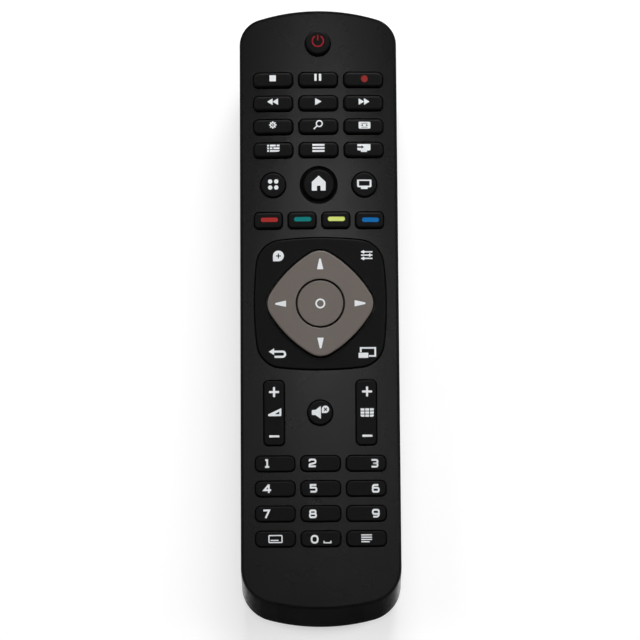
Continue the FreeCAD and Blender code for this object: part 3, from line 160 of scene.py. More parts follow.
def new_group(name: str, inputs: dict[str, float], outputs: Iterable[str],
              fill: Callable[[Tree, Sockets], Sockets]) -> bpy.types.NodeTree:
    """Make a node group with float sockets.

    Args:
        name: the group's name.
        inputs: input names with their usual values.
        outputs: output names.
        fill: makes the nodes and returns what each output is fed with.
    """
    tree = bpy.data.node_groups.new(name, "ShaderNodeTree")
    for label, value in inputs.items():
        socket = tree.interface.new_socket(label, in_out="INPUT", socket_type="NodeSocketFloat")
        socket.default_value = value
    for label in outputs:
        tree.interface.new_socket(label, in_out="OUTPUT", socket_type="NodeSocketFloat")
    kit = Tree(tree)
    start, end = kit.node("NodeGroupInput"), kit.node("NodeGroupOutput")
    for label, socket in fill(kit, {s.name: s for s in start.outputs if s.name}).items():
        kit.feed(end.inputs[label], socket)
    return tree


class Groups:
    """The effects that several finishes share, each built once."""

    # Pointiness where an edge begins to be worn, and where it is worn fully
    WORN_FROM = 0.505
    WORN_FULLY = 0.56

    def __init__(self) -> None:
        """Build the groups."""
        self.grain = new_group("moulded_grain", {"Cells": 5000.0, "Pits": 0.5},
                               ["Height", "Mask"], self._grain)
        self.handling = new_group("handling", {"Cells": 40.0, "Low": 0.4, "High": 0.6},
                                  ["Roughness"], self._handling)
        self.wear = new_group("edge_wear", {"Amount": 0.5}, ["Mask"], self._wear)

    @staticmethod
    def _grain(kit: Tree, given: Sockets) -> Sockets:
        """Fine rounded grain with a few deeper pits, as a spark eroded mould leaves."""
        place = kit.node("ShaderNodeTexCoord").outputs["Object"]
        fine = kit.noise(place, given["Cells"], detail=3.0, rough=0.6)
        cells = kit.node("ShaderNodeTexVoronoi", {"Vector": place, "Scale": given["Cells"]},
                         feature="SMOOTH_F1")
        pits = kit.math("MULTIPLY", cells.outputs["Distance"], given["Pits"])
        return {"Height": kit.math("ADD", fine, pits),
                "Mask": kit.ramp(fine, low=0.35, high=0.65)}

    @staticmethod
    def _handling(kit: Tree, given: Sockets) -> Sockets:
        """Slow changes of gloss where hands have been."""
        place = kit.node("ShaderNodeTexCoord").outputs["Object"]
        clouds = kit.noise(place, given["Cells"], detail=4.0, rough=0.55)
        return {"Roughness": kit.ramp(clouds, low=0.3, high=0.7,
                                      to_low=given["Low"], to_high=given["High"])}

    def _wear(self, kit: Tree, given: Sockets) -> Sockets:
        """A mask that is higher where the surface turns outwards."""
        sharp = kit.node("ShaderNodeNewGeometry").outputs["Pointiness"]
        edge = kit.ramp(sharp, low=self.WORN_FROM, high=self.WORN_FULLY)
        return {"Mask": kit.math("MULTIPLY", edge, given["Amount"])}


@dataclass(frozen=True)
class Finish:
    """One surface finish: a colour that varies, a gloss that varies and a grain.

    Attributes:
        name: the material's name.
        colour: linear base colour.
        light: linear colour that the grain and worn edges mix towards.
        gloss: lowest and highest roughness.
        grain: depth of the grain.
        cells: grains per metre.
        speckle: share of the lighter colour in the grain.
        wear: share of the lighter colour on edges.
        specular: strength of the mirror light, 0.5 for plain plastic.
        metallic: 0 or 1.
        coat: weight of the clear coat.
        clouds: clouds of handling per metre.
        see_through: share of the light that passes through.
    """

    name: str
    colour: Colour
    light: Colour
    gloss: Pair = (0.45, 0.55)
    grain: float = 10e-6
    cells: float = 5000.0
    speckle: float = 0.3
    wear: float = 0.3
    specular: float = 0.5
    metallic: float = 0.0
    coat: float = 0.0
    clouds: float = 60.0
    see_through: float = 0.0

    def towards(self, other: Finish, share: float) -> Finish:
        """A finish that is partly this one and, by a share from 0 to 1, another."""
        def mixed(mine: object, theirs: object) -> object:
            """A number, or a tuple of numbers, between two others."""
            if isinstance(mine, tuple):
                return tuple(mixed(a, b) for a, b in zip(mine, theirs))
            return mine + (theirs - mine) * share

        values = {f.name: mixed(getattr(self, f.name), getattr(other, f.name))
                  for f in fields(self) if f.name != "name"}
        return Finish(name=f"{self.name}_{round(share * 100)}", **values)

    def material(self, groups: Groups) -> bpy.types.Material:
        """Build the material with the shared effects."""
        base, light = (*self.colour, 1.0), (*self.light, 1.0)
        made = bpy.data.materials.new(f"{self.name}_finish")
        made.use_nodes = True
        made.diffuse_color = base
        kit = Tree(made.node_tree)
        shader = made.node_tree.nodes["Principled BSDF"]
        low, high = self.gloss
        grain = kit.node("ShaderNodeGroup", {"Cells": self.cells}, node_tree=groups.grain)
        handling = kit.node("ShaderNodeGroup", {"Cells": self.clouds, "Low": low, "High": high},
                            node_tree=groups.handling)
        wear = kit.node("ShaderNodeGroup", {"Amount": self.wear}, node_tree=groups.wear)
        speckled = kit.mix(kit.math("MULTIPLY", grain.outputs["Mask"], self.speckle), base, light)
        worn = kit.mix(wear.outputs["Mask"], speckled, light)
        bump = kit.node("ShaderNodeBump", {"Height": grain.outputs["Height"],
                                           "Distance": self.grain, "Strength": 1.0})
        for socket, value in {"Base Color": worn, "Roughness": handling.outputs["Roughness"],
                              "Normal": bump.outputs["Normal"], "Metallic": self.metallic,
                              "Specular IOR Level": self.specular, "Coat Weight": self.coat,
                              "Transmission Weight": self.see_through}.items():
            kit.feed(shader.inputs[socket], value)
        return made


class Shelf:
    """Keeps one material per finish."""

    # The lighter colour of an ink's grain, against the ink's own, and its upper limit
    INK_LIGHTER = 1.15
    INK_LIGHTEST = 0.9

    FINISHES = (
        Finish("case_plastic", (0.0036, 0.0036, 0.0037), (0.012, 0.012, 0.0123),
               gloss=(0.26, 0.30), grain=5e-6, cells=4200, speckle=0.05, wear=0.0,
               specular=0.22),
        # Painted shade: a darker, less glossy copy of the case plastic for the case ends and key
        # openings
        Finish("case_side", (0.0030, 0.0030, 0.0031), (0.008, 0.008, 0.0083),
               gloss=(0.70, 0.78), grain=6e-6, cells=4200, speckle=0.15, wear=0.0,
               specular=0.02),
        Finish("key_rubber", (0.0036, 0.0036, 0.0037), (0.009, 0.009, 0.0093),
               gloss=(0.50, 0.60), grain=4e-6, cells=9000, speckle=0.1, wear=0.2,
               specular=0.10),
        Finish("panel_plastic", (0.0034, 0.0034, 0.0035), (0.008, 0.008, 0.0083),
               gloss=(0.46, 0.52), grain=5e-6, cells=8000, speckle=0.1, wear=0.0,
               specular=0.10),
        Finish("pad_paint", (0.130, 0.109, 0.096), (0.210, 0.181, 0.162),
               gloss=(0.42, 0.49), grain=3e-6, cells=12000, speckle=0.15, wear=0.0,
               specular=0.4),
        Finish("ir_filter", (0.010, 0.004, 0.006), (0.020, 0.008, 0.012),
               gloss=(0.05, 0.10), grain=1e-6, cells=900, speckle=0.1, coat=0.4),
        Finish("mat_rubber", (0.020, 0.020, 0.021), (0.040, 0.040, 0.042),
               gloss=(0.6, 0.7), grain=5e-6, cells=6000),
        Finish("board_laminate", (0.190, 0.105, 0.040), (0.260, 0.170, 0.085),
               gloss=(0.40, 0.52), grain=6e-6, cells=3500, speckle=0.5),
        Finish("carbon_ink", (0.018, 0.018, 0.019), (0.045, 0.045, 0.047),
               gloss=(0.5, 0.62), grain=4e-6, cells=7000),
        Finish("cell_wrap", (0.220, 0.225, 0.240), (0.330, 0.335, 0.350),
               gloss=(0.22, 0.32), grain=2e-6, cells=2500, coat=0.5),
        Finish("nickel", (0.560, 0.545, 0.510), (0.720, 0.705, 0.670),
               gloss=(0.18, 0.32), grain=3e-6, cells=4000, metallic=1.0),
        Finish("screw_steel", (0.420, 0.420, 0.430), (0.600, 0.600, 0.610),
               gloss=(0.28, 0.42), grain=4e-6, cells=5000, metallic=1.0),
        Finish("lamp_resin", (0.030, 0.030, 0.090), (0.060, 0.060, 0.150),
               gloss=(0.06, 0.12), grain=1e-6, cells=1500, coat=0.5, see_through=0.5),
        Finish("chip_resin", (0.018, 0.018, 0.020), (0.040, 0.040, 0.043),
               gloss=(0.5, 0.6), grain=6e-6, cells=6000),
        Finish("can_metal", (0.520, 0.520, 0.510), (0.680, 0.680, 0.670),
               gloss=(0.25, 0.36), grain=3e-6, cells=3000, metallic=1.0),
        Finish("capacitor_sleeve", (0.020, 0.026, 0.085), (0.045, 0.055, 0.150),
               gloss=(0.22, 0.32), grain=3e-6, cells=2500, coat=0.3),
    )

    def __init__(self) -> None:
        """Make the materials of all finishes and inks."""
        self.groups = Groups()
        self.dressed: set[str] = set()
        self.materials = {f.name: f.material(self.groups) for f in self.FINISHES}
        for ink in Ink:
            light = tuple(min(self.INK_LIGHTEST, c * self.INK_LIGHTER) for c in ink.value)
            finish = Finish(ink.finish, ink.value, light, gloss=(0.6, 0.7), grain=3e-6,
                            cells=9000, wear=0.0, specular=0.15)
            self.materials[finish.name] = finish.material(self.groups)

    def between(self, first: str, last: str, steps: int) -> list[bpy.types.Material]:
        """Materials from one finish to another, with both ends, in ever smaller steps."""
        ends = {f.name: f for f in self.FINISHES}
        made = [self.materials[first]]
        for i in range(1, steps - 1):
            to_go = 1 - i / (steps - 1)
            made.append(ends[first].towards(ends[last], 1 - to_go ** 2).material(self.groups))
        return [*made, self.materials[last]]

    def dress(self, thing: bpy.types.Object, name: str) -> None:
        """Give an object one material all over."""
        self.dressed.add(thing.name)
        thing.data.materials.clear()
        thing.data.materials.append(self.materials[name])

    def dress_walls(self, thing: bpy.types.Object, name: str, top_from: float) -> None:
        """Give the faces of a dressed object that point up less than its top another finish."""
        thing.data.materials.append(self.materials[name])
        for face in thing.data.polygons:
            face.material_index = int(face.normal.z < top_from)


# Flat shapes, in millimetres about a key's centre

# Largest turn from one point of an arc to the next
ARC_STEP = math.radians(12)
# Half the angle of a corner, from which it counts as straight
STRAIGHT = math.radians(89)
# Least cosine of half a turn, so that the sharp corners of a band stay short
SHARPEST = 0.3


def turned(points: Loop, degrees: float) -> Loop:
    """Points turned about the origin."""
    c, s = math.cos(math.radians(degrees)), math.sin(math.radians(degrees))
    return [(x * c - y * s, x * s + y * c) for x, y in points]


def moved(points: Loop, x: float, y: float) -> Loop:
    """Points shifted by x and y."""
    return [(a + x, b + y) for a, b in points]


def arc_points(x: float, y: float, radius: float, start: float, end: float) -> Loop:
    """Points along an arc about x and y, from one angle in degrees to another."""
    a0, a1 = math.radians(start), math.radians(end)
    count = max(2, math.ceil(abs(a1 - a0) / ARC_STEP))
    return [(x + radius * math.cos(a0 + (a1 - a0) * i / count),
             y + radius * math.sin(a0 + (a1 - a0) * i / count)) for i in range(count + 1)]


def disc(x: float, y: float, radius: float) -> Loop:
    """A circle as a closed loop."""
    return arc_points(x, y, radius, 0, 360)[:-1]


def eased(points: Loop, radii: float | list[float], closed: bool = True) -> Loop:
    """Round the corners of a line of points.

    Args:
        points: the corners.
        radii: one radius for all corners, or one each.
        closed: whether the last point joins the first.

    Returns:
        The points with an arc in place of each corner whose radius isn't 0.
    """
    count = len(points)
    each = radii if isinstance(radii, list) else [radii] * count
    out: Loop = []
    for i, (point, radius) in enumerate(zip(points, each)):
        if radius <= 0 or (not closed and i in (0, count - 1)):
            out.append(point)
            continue
        here = Vector(point)
        before = (Vector(points[i - 1]) - here).normalized()
        after = (Vector(points[(i + 1) % count]) - here).normalized()
        half = before.angle(after) / 2
        if half > STRAIGHT:
            out.append(point)
            continue
        along = radius / math.tan(half)
        centre = here + (before + after).normalized() * (radius / math.sin(half))
        first, last = here + before * along - centre, here + after * along - centre
        turn = first.angle_signed(last)
        steps = max(2, math.ceil(abs(turn) / ARC_STEP))
        for k in range(steps + 1):
            angle = -turn * k / steps
            c, s = math.cos(angle), math.sin(angle)
            out.append((centre.x + first.x * c - first.y * s,
                        centre.y + first.x * s + first.y * c))
    return out


def plate(x: float, y: float, width: float, height: float, radii: float | list[float]) -> Loop:
    """A rectangle about x and y. Four radii go from its lower left corner anticlockwise."""
    w, h = width / 2, height / 2
    return eased([(x - w, y - h), (x + w, y - h), (x + w, y + h), (x - w, y + h)], radii)


def band(points: Loop, width: float, closed: bool = False) -> Layer:
    """The outline of a line of even width.

    Args:
        points: the middle line.
        width: the line's width.
        closed: whether it joins up.

    Returns:
        One loop, or an outer and an inner loop if closed.
    """
    count = len(points)
    sides: tuple[Loop, Loop] = ([], [])
    for i, point in enumerate(points):
        here = Vector(point)
        ends = []
        if closed or i > 0:
            ends.append((here - Vector(points[i - 1])).normalized())
        if closed or i < count - 1:
            ends.append((Vector(points[(i + 1) % count]) - here).normalized())
        along = sum(ends, Vector((0, 0))).normalized()
        across = Vector((-along.y, along.x))
        reach = width / 2 / max(SHARPEST, across.dot(Vector((-ends[0].y, ends[0].x))))
        for side, sign in zip(sides, (1, -1)):
            side.append(tuple(here + across * reach * sign))
    left, right = sides
    return [left, right] if closed else [left + right[::-1]]


def triangle(tip: float, base: float, half: float, radius: float) -> Loop:
    """A triangle that points along X, by its tip, its base, half its width and its rounding."""
    return eased([(tip, 0), (base, half), (base, -half)], radius)


def cross(arm: float, half: float) -> Loop:
    """An upright cross, by the length of its arms and half their width."""
    corner = [(-half, -half), (-half, -arm), (half, -arm)]
    return [point for side in range(4) for point in turned(corner, 90 * side)]


# Marks, each as the layers that are printed one by one

# Shift from the key's centre along X and Y, ink and layers
Mark = tuple[float, float, Ink, list[Layer]]


def power_mark() -> list[Layer]:
    """A broken ring with a bar at its gap."""
    radius, half_gap, stroke = 1.72, 32, 0.38
    ring = arc_points(0, 0, radius, 90 + half_gap, 450 - half_gap)
    return [band(ring, stroke), [plate(0, 1.02, 0.36, 1.7, 0.1)]]


def gear_mark() -> list[Layer]:
    """A toothed wheel with a dot in its middle."""
    teeth, foot, top = 8, 0.86, 1.17
    tooth = ((foot, -12), (top, -8), (top, 8), (foot, 12))
    wheel = [turned([(radius, 0)], 360 / teeth * i + aside)[0]
             for i in range(teeth) for radius, aside in tooth]
    return [[wheel, disc(0, 0, 0.50)], [disc(0, 0, 0.22)]]


def format_mark() -> list[Layer]:
    """A screen with two lines and two small arrows that point apart."""
    arrow = triangle(0.42, -0.2, 0.34, 0.05)
    arrows = [moved(arrow, 0.70, 0), moved(turned(arrow, 180), -0.70, 0)]
    slots = [plate(0, y, 1.95, 0.16, 0.05) for y in (0.62, -0.62)]
    return [[plate(0, 0, 3.7, 2.15, 0.40), *arrows, *slots]]


def guide_mark() -> list[Layer]:
    """Three rows of cells, by their left and right ends. The longest has one round corner."""
    height, small, large, long_from = 0.57, 0.05, 0.5, 3
    layers = []
    for y, cells in ((0.84, ((-1.95, -1.4), (-1.12, 0.75), (1.02, 1.9))),
                     (0.0, ((-1.95, -1.4), (-1.12, -0.3), (-0.02, 1.9))),
                     (-0.84, ((-1.95, -1.4), (-1.12, 1.9)))):
        for left, right in cells:
            corner = large if right - left > long_from else small
            layers.append([plate((left + right) / 2, y, right - left, height,
                                 [small, corner, small, small])])
    return layers


def source_mark() -> list[Layer]:
    """A screen on a foot, with an arrow cut into its left side."""
    return [[[(-2.05, 1.1), (-2.05, 0.42), (-0.75, 0.42), (-0.75, 0.72), (0.05, 0.2),
              (-0.75, -0.32), (-0.75, -0.02), (-2.05, -0.02), (-2.05, -0.62), (-1.75, -0.9),
              (-0.95, -0.9), (-0.95, -1.35), (0.95, -1.35), (0.95, -0.9), (1.75, -0.9),
              (2.05, -0.62), (2.05, 1.1)]]]


def menu_marks() -> dict[str, Mark]:
    """Marks of the upper keys."""
    white = Ink.WHITE
    fast = [[moved(triangle(0.91, -0.82, 1.05, 0.1), x, 0)] for x in (-0.85, 0.85)]
    back = [[[(-x, y) for x, y in loop] for loop in layer] for layer in fast]
    glass = [[disc(0.47, 0.40, 1.10), disc(0.47, 0.40, 0.73)],
             band([(-0.30, -0.37), (-1.26, -1.32)], 0.40)]
    bars = [[plate(0, y, 3.8, 0.6, 0.08)] for y in (0.95, 0, -0.95)]
    return {
        "stop_key": (-0.1, 0.55, white, [[plate(0, 0, 2.0, 1.9, 0.18)]]),
        "pause_key": (-0.08, 0.7, white, [[plate(x, 0, 0.74, 2.2, 0.16)] for x in (-0.72, 0.72)]),
        "record_key": (0.42, 0.22, Ink.RECORD, [[disc(0, 0, 1.06)]]),
        "rewind_key": (-0.14, 0.52, white, back),
        "play_key": (0, 0.42, white, [[triangle(1.10, -0.96, 1.10, 0.12)]]),
        "forward_key": (0.22, 0.38, white, fast),
        "settings_key": (-0.15, 0.56, white, gear_mark()),
        "search_key": (-0.17, 0.45, white, glass),
        "format_key": (0.35, 0.3, white, format_mark()),
        "guide_key": (0, 0.58, white, guide_mark()),
        "list_key": (0, 0.55, white, bars),
        "source_key": (0.1, 0.6, white, source_mark()),
    }


def mute_mark() -> list[Layer]:
    """A speaker, and beside it a bubble with a slanted cross."""
    speaker = eased([(-2.6, 0.75), (-2.6, -0.75), (-1.45, -0.8), (0.2, -2.05), (0.2, 2.05),
                     (-1.45, 0.8)], 0.12)
    bubble = plate(1.62, 0.95, 2.3, 2.3, [0.15, 1.14, 1.14, 1.14])
    slanted = moved(turned(cross(0.62, 0.16), 45), 1.66, 0.95)
    return [[speaker], [bubble, slanted]]


def round_marks() -> dict[str, Mark]:
    """Marks of the round keys."""
    house = eased([(-2.16, 0.72), (-2.16, -2.0), (-0.56, -2.0), (-0.56, -0.45), (0.56, -0.45),
                   (0.56, -2.0), (2.16, -2.0), (2.16, 0.72), (0, 2.7)],
                  [0.15, 0.15, 0.06, 0.3, 0.3, 0.06, 0.15, 0.15, 0.12])
    dots = [[disc(x, y, 0.68)] for x in (-0.95, 0.95) for y in (-0.95, 0.95)]
    shown = eased([(-2.25, 1.35), (-2.25, -0.75), (-1.9, -1.05), (-1.05, -1.05), (-1.05, -1.6),
                   (1.05, -1.6), (1.05, -1.05), (1.9, -1.05), (2.25, -0.75), (2.25, 1.35)], 0.06)
    screen = [[shown, plate(0, 0.2, 3.3, 1.5, 0.12)]]
    return {
        "apps_key": (0, 0.2, Ink.WHITE, dots),
        "home_key": (0, 0.1, Ink.WHITE, [[house]]),
        "screen_key": (0, 0.2, Ink.WHITE, screen),
        "mute_key": (0, 0.1, Ink.WHITE, mute_mark()),
    }


def page_marks() -> dict[str, Mark]:
    """Marks of the two keys beside the figure 0: a caption on a screen and lines of text."""
    stroke = 0.36
    caption = [[plate(0, 0, 4.4, 2.5, 0.4), plate(0, 0, 3.7, 1.8, 0.12)],
               [plate(-0.3, -0.42, 2.5, stroke, 0.1)]]
    lines = [[plate(x, y, width, stroke, 0.1)] for x, y, width in
             ((0, 1.05, 3.4), (0, 0.35, 3.4), (0, -0.35, 3.4), (-0.35, -1.05, 2.6))]
    return {"subtitle_key": (0, 0.05, Ink.WHITE, caption),
            "text_key": (0, 0.1, Ink.WHITE, lines)}


def wedge_mark() -> list[Layer]:
    """The mark between louder and softer: a wedge with its inside left out."""
    return [[eased([(-3.1, -0.95), (2.25, -0.95), (2.25, 1.55)], [0.35, 0.3, 0.12]),
             eased([(0.1, -0.35), (1.6, -0.35), (1.6, 0.5)], 0.1)]]


def grid_mark() -> list[Layer]:
    """Three by three cells, whose two lower corners are round."""
    aside, up, small, large = 1.45, 0.95, 0.12, 0.5
    layers = []
    for x in (-aside, 0, aside):
        for y in (-up, 0, up):
            left = large if (x, y) == (-aside, -up) else small
            right = large if (x, y) == (aside, -up) else small
            layers.append([plate(x, y, 1.2, 0.72, [left, right, small, small])])
    return layers


def sliders_mark() -> list[Layer]:
    """Three lines, each with a pointed knob."""
    end, half, knob_width, knob_height = 1.78, 0.2, 0.42, 0.58
    layers = []
    for y, knob in ((1.02, -1.0), (0, 0.95), (-1.02, -1.0)):
        lower = [(-end, -half), (knob - knob_width, -half), (knob, -knob_height),
                 (knob + knob_width, -half), (end, -half)]
        upper = [(along, -below) for along, below in reversed(lower)]
        layers.append([moved(lower + upper, 0, y)])
    return layers


def panel_marks() -> list[tuple[str, float, float, list[Layer]]]:
    """Marks of the corner panel: name, place from the cluster's centre and layers."""
    bubble = [[plate(0, 0, 3.4, 3.3, [0.2, 1.64, 1.64, 1.64]), cross(0.75, 0.17)]]
    hook = eased([(-1.3, 0.52), (2.3, 0.52), (2.3, -1.1), (-1.0, -1.1)], 0.8, closed=False)
    back = [band(hook, 0.66), [moved([(-0.9, 0), (0.75, 1.05), (0.75, -1.05)], -1.85, 0.52)]]
    windows = [[eased([(-2.3, 0.1), (-2.3, 1.7), (2.75, 1.7), (2.75, -1.3), (0.5, -1.3),
                       (0.5, -0.8), (2.2, -0.8), (2.2, 1.2), (-1.75, 1.2), (-1.75, 0.1)], 0.05)],
               [plate(-1.2, -0.85, 3.05, 1.6, 0.2)]]
    return [("info_mark", -12.95, 15.0, bubble), ("sliders_mark", 14.55, 15.1, sliders_mark()),
            ("back_mark", -13.35, -15.35, back), ("windows_mark", 14.5, -15.3, windows)]


def digit_lines() -> dict[str, list[tuple[Loop, float | list[float], bool]]]:
    """Middle lines of the wide figures: corners, their radii and whether they close.

    Here w is half the width, h half the height and m the level of a middle bar.
    """
    w, h, m = 1.03, 1.08, 0.04
    return {
        "0": [([(-w, -h), (w, -h), (w, h), (-w, h)], 0.85, True)],
        "1": [([(-0.55, h), (0.12, h), (0.12, -h)], 0, False),
              ([(-0.6, -h), (0.84, -h)], 0, False)],
        "2": [([(-w, 0.5), (-w, h), (w, h), (w, m), (-w, -0.45), (-w, -h), (w + 0.1, -h)],
               [0, 0.4, 0.5, 0.4, 0.3, 0, 0], False)],
        "3": [([(-w, h), (w, h), (w, m), (-0.5, m)], [0, 0.42, 0.42, 0], False),
              ([(-0.5, m), (w, m), (w, -h), (-w, -h)], [0, 0.42, 0.42, 0], False)],
        "4": [([(0.55, 1.2), (-1.0, -0.48), (1.35, -0.48)], 0, False),
              ([(0.58, 1.34), (0.58, -1.36)], 0, False)],
        "5": [([(w, h), (-0.92, h), (-0.92, 0.2), (w, 0.2), (w, -h), (-w, -h)],
               [0, 0, 0, 0.45, 0.45, 0], False)],
        "6": [([(-w, -h), (w, -h), (w, 0.2), (-w, 0.2)], 0.45, True),
              ([(-w, -0.4), (-w, h), (0.9, h)], [0, 0.7, 0], False)],
        "7": [([(-w - 0.1, h), (w - 0.15, h), (-0.35, -1.36)], 0, False)],
        "8": [([(-0.92, m), (0.92, m), (0.92, h), (-0.92, h)], 0.38, True),
              ([(-w, -h), (w, -h), (w, m), (-w, m)], 0.42, True)],
        "9": [([(-w, h), (w, h), (w, -0.2), (-w, -0.2)], 0.45, True),
              ([(w, 0.4), (w, -h), (-0.9, -h)], [0, 0.7, 0], False)],
    }


def figure(digit: str, stroke: float, size: Pair) -> list[Layer]:
    """The layers of one figure, drawn at its full size and then scaled."""
    layers = []
    for corners, radii, closed in digit_lines()[digit]:
        loops = band(eased(corners, radii, closed), stroke / size[0], closed)
        layers.append([[(x * size[0], y * size[1]) for x, y in loop] for loop in loops])
    return layers


# Pieces


def select_only(*things: bpy.types.Object) -> None:
    """Select some objects, or none, and make the first of them active."""
    bpy.ops.object.select_all(action="DESELECT")
    for thing in things:
        thing.select_set(True)
    if things:
        bpy.context.view_layer.objects.active = things[0]


@dataclass
class Printer:
    """Prints marks on the keys as thin closed layers of ink.

    Attributes:
        nodes: the CAD nodes by name.
        body_of: each node's body.
        shelf: the materials.
        thickness: how far the ink stands proud of the key.
        sunk: how far it reaches into the key.
        weld: how close two points of a mark may be before they are made one.
        overhead: how far above a key the search for its top starts.
    """

    nodes: dict[str, bpy.types.Object]
    body_of: dict[str, str]
    shelf: Shelf
    thickness: float = 0.035 * MM
    sunk: float = 0.05 * MM
    weld: float = 0.002 * MM
    overhead: float = 1 * MM

    def layer(self, name: str, loops: Layer) -> bpy.types.Object:
        """A flat mesh from closed loops, filled between the outer and the inner ones."""
        curve = bpy.data.curves.new(name, "CURVE")
        curve.dimensions = "2D"
        curve.fill_mode = "BOTH"
        curve.extrude = (self.thickness + self.sunk) / 2
        for loop in loops:
            spline = curve.splines.new("POLY")
            spline.points.add(len(loop) - 1)
            for point, (x, y) in zip(spline.points, loop):
                point.co = (x * MM, y * MM, 0, 1)
            spline.use_cyclic_u = True
        flat = bpy.data.objects.new(name, curve)
        bpy.context.scene.collection.objects.link(flat)
        select_only(flat)
        bpy.ops.object.convert(target="MESH")
        return bpy.context.view_layer.objects.active

    def mark(self, name: str, node: str, x: float, y: float, layers: list[Layer],
             ink: Ink = Ink.WHITE) -> None:
        """Print a mark on a node, as one piece.

        Args:
            name: the piece's name.
            node: the CAD node that carries it.
            x: place of the mark's centre.
            y: place of the mark's centre.
            layers: the shapes, in millimetres about the centre.
            ink: the colour.
        """
        parts = [self.layer(f"{name}_{i}", loops) for i, loops in enumerate(layers)]
        select_only(*parts)
        if len(parts) > 1:
            bpy.ops.object.join()
        piece = parts[0]
        piece.name = piece.data.name = name
        bpy.ops.object.mode_set(mode="EDIT")
        bpy.ops.mesh.select_all(action="SELECT")
        bpy.ops.mesh.remove_doubles(threshold=self.weld)
        bpy.ops.mesh.normals_make_consistent(inside=False)
        bpy.ops.object.mode_set(mode="OBJECT")
        self.drape(piece, node, x, y)
        self.shelf.dress(piece, ink.finish)
        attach(piece, self.body_of[node])

    def drape(self, piece: bpy.types.Object, node: str, x: float, y: float) -> None:
        """Lay a flat piece on the top of a node, with its centre at x and y."""
        carrier = self.nodes[node]
        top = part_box(node)[1].z
        down = Vector((0, 0, -1))
        middle = (self.thickness - self.sunk) / 2
        for vertex in piece.data.vertices:
            above = Vector((vertex.co.x + x, vertex.co.y + y, top + self.overhead))
            hit, place, _, _ = carrier.ray_cast(above, down)
            level = place.z if hit else top
            vertex.co = Vector((above.x, above.y, level + middle + vertex.co.z))


@dataclass
class Section:
    """Some nodes of the remote control, which are dressed together.

    Attributes:
        shelf: the materials.
        nodes: all CAD nodes by name.
    """

    shelf: Shelf
    nodes: dict[str, bpy.types.Object]


@dataclass
class PrintedSection(Section):
    """Nodes that carry marks.

    Attributes:
        printer: prints the marks.
    """

    printer: Printer


@dataclass
class CaseShells(Section):
    """The two halves of the case, the battery door and the infrared window.

    The corners go from the smooth finish of the sides to painted shade on the ends in steps:
    darker, duller copies of the case plastic that also fill the key openings. How far a face
    points along an axis is the part of its normal along that axis.

    Attributes:
        steps: how many finishes that takes, with both ends.
        smooth_until: how far a corner points along Y where its painted shade begins.
        dull_from: how far it points along Y where it takes the full painted shade.
        lower_end: how far along Y a face may point and still belong to the lower end.
        front_from: how far the smooth faces of the front point up at least.
        lower_front_from: the same at the lower end, where the edge is smooth too.
        edge_share: share of the painted shade on the front's edge, at the middle of a side.
        field_x: half width of the field of keys, whose openings take the full painted shade.
        field_y: lower and upper end of the field of keys.
        crown_radius: arc of the front across its width.
        edge_round: rounding of the front's edge.
    """

    steps: int = 8
    smooth_until: float = 0.38
    dull_from: float = 0.95
    lower_end: float = -0.1
    front_from: float = 0.992
    lower_front_from: float = 0.75
    edge_share: float = 0.4
    field_x: float = 21.5 * MM
    field_y: Pair = (-75 * MM, 91 * MM)
    crown_radius: float = 220 * MM
    edge_round: float = 1.05 * MM

    def finish_of(self, face: bpy.types.MeshPolygon, crown: float) -> int:
        """Which finish a face has, counted from the smooth one.

        Front and sides keep the smooth case plastic, and ends and openings take painted shade.

        Args:
            face: a face of a shell.
            crown: height of the front in its middle.
        """
        facing, place = face.normal, face.center
        at_lower_end = facing.y < self.lower_end
        if facing.z > (self.lower_front_from if at_lower_end else self.front_from):
            return 0
        if abs(place.x) < self.field_x and self.field_y[0] < place.y < self.field_y[1]:
            return self.steps - 1
        edge = crown - place.x ** 2 / (2 * self.crown_radius) - self.edge_round
        share = (abs(facing.y) - self.smooth_until) / (self.dull_from - self.smooth_until)
        if place.z > edge and not at_lower_end:
            share = max(share, self.edge_share + facing.y)
        return round(min(1.0, max(0.0, share)) * (self.steps - 1))

    def build(self) -> None:
        """Dress the shells."""
        # Steps from the case plastic to its painted shade copy, picked by which way each face
        # points
        finishes = self.shelf.between("case_plastic", "case_side", self.steps)
        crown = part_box("front_case")[1].z
        for name in ("front_case", "rear_case", "battery_door"):
            shell = self.nodes[name]
            self.shelf.dress(shell, "case_plastic")
            for finish in finishes[1:]:
                shell.data.materials.append(finish)
            for face in shell.data.polygons:
                face.material_index = self.finish_of(face, crown)
        self.shelf.dress(self.nodes["ir_window"], "ir_filter")
        self.shelf.dress(self.nodes["case_screws"], "screw_steel")


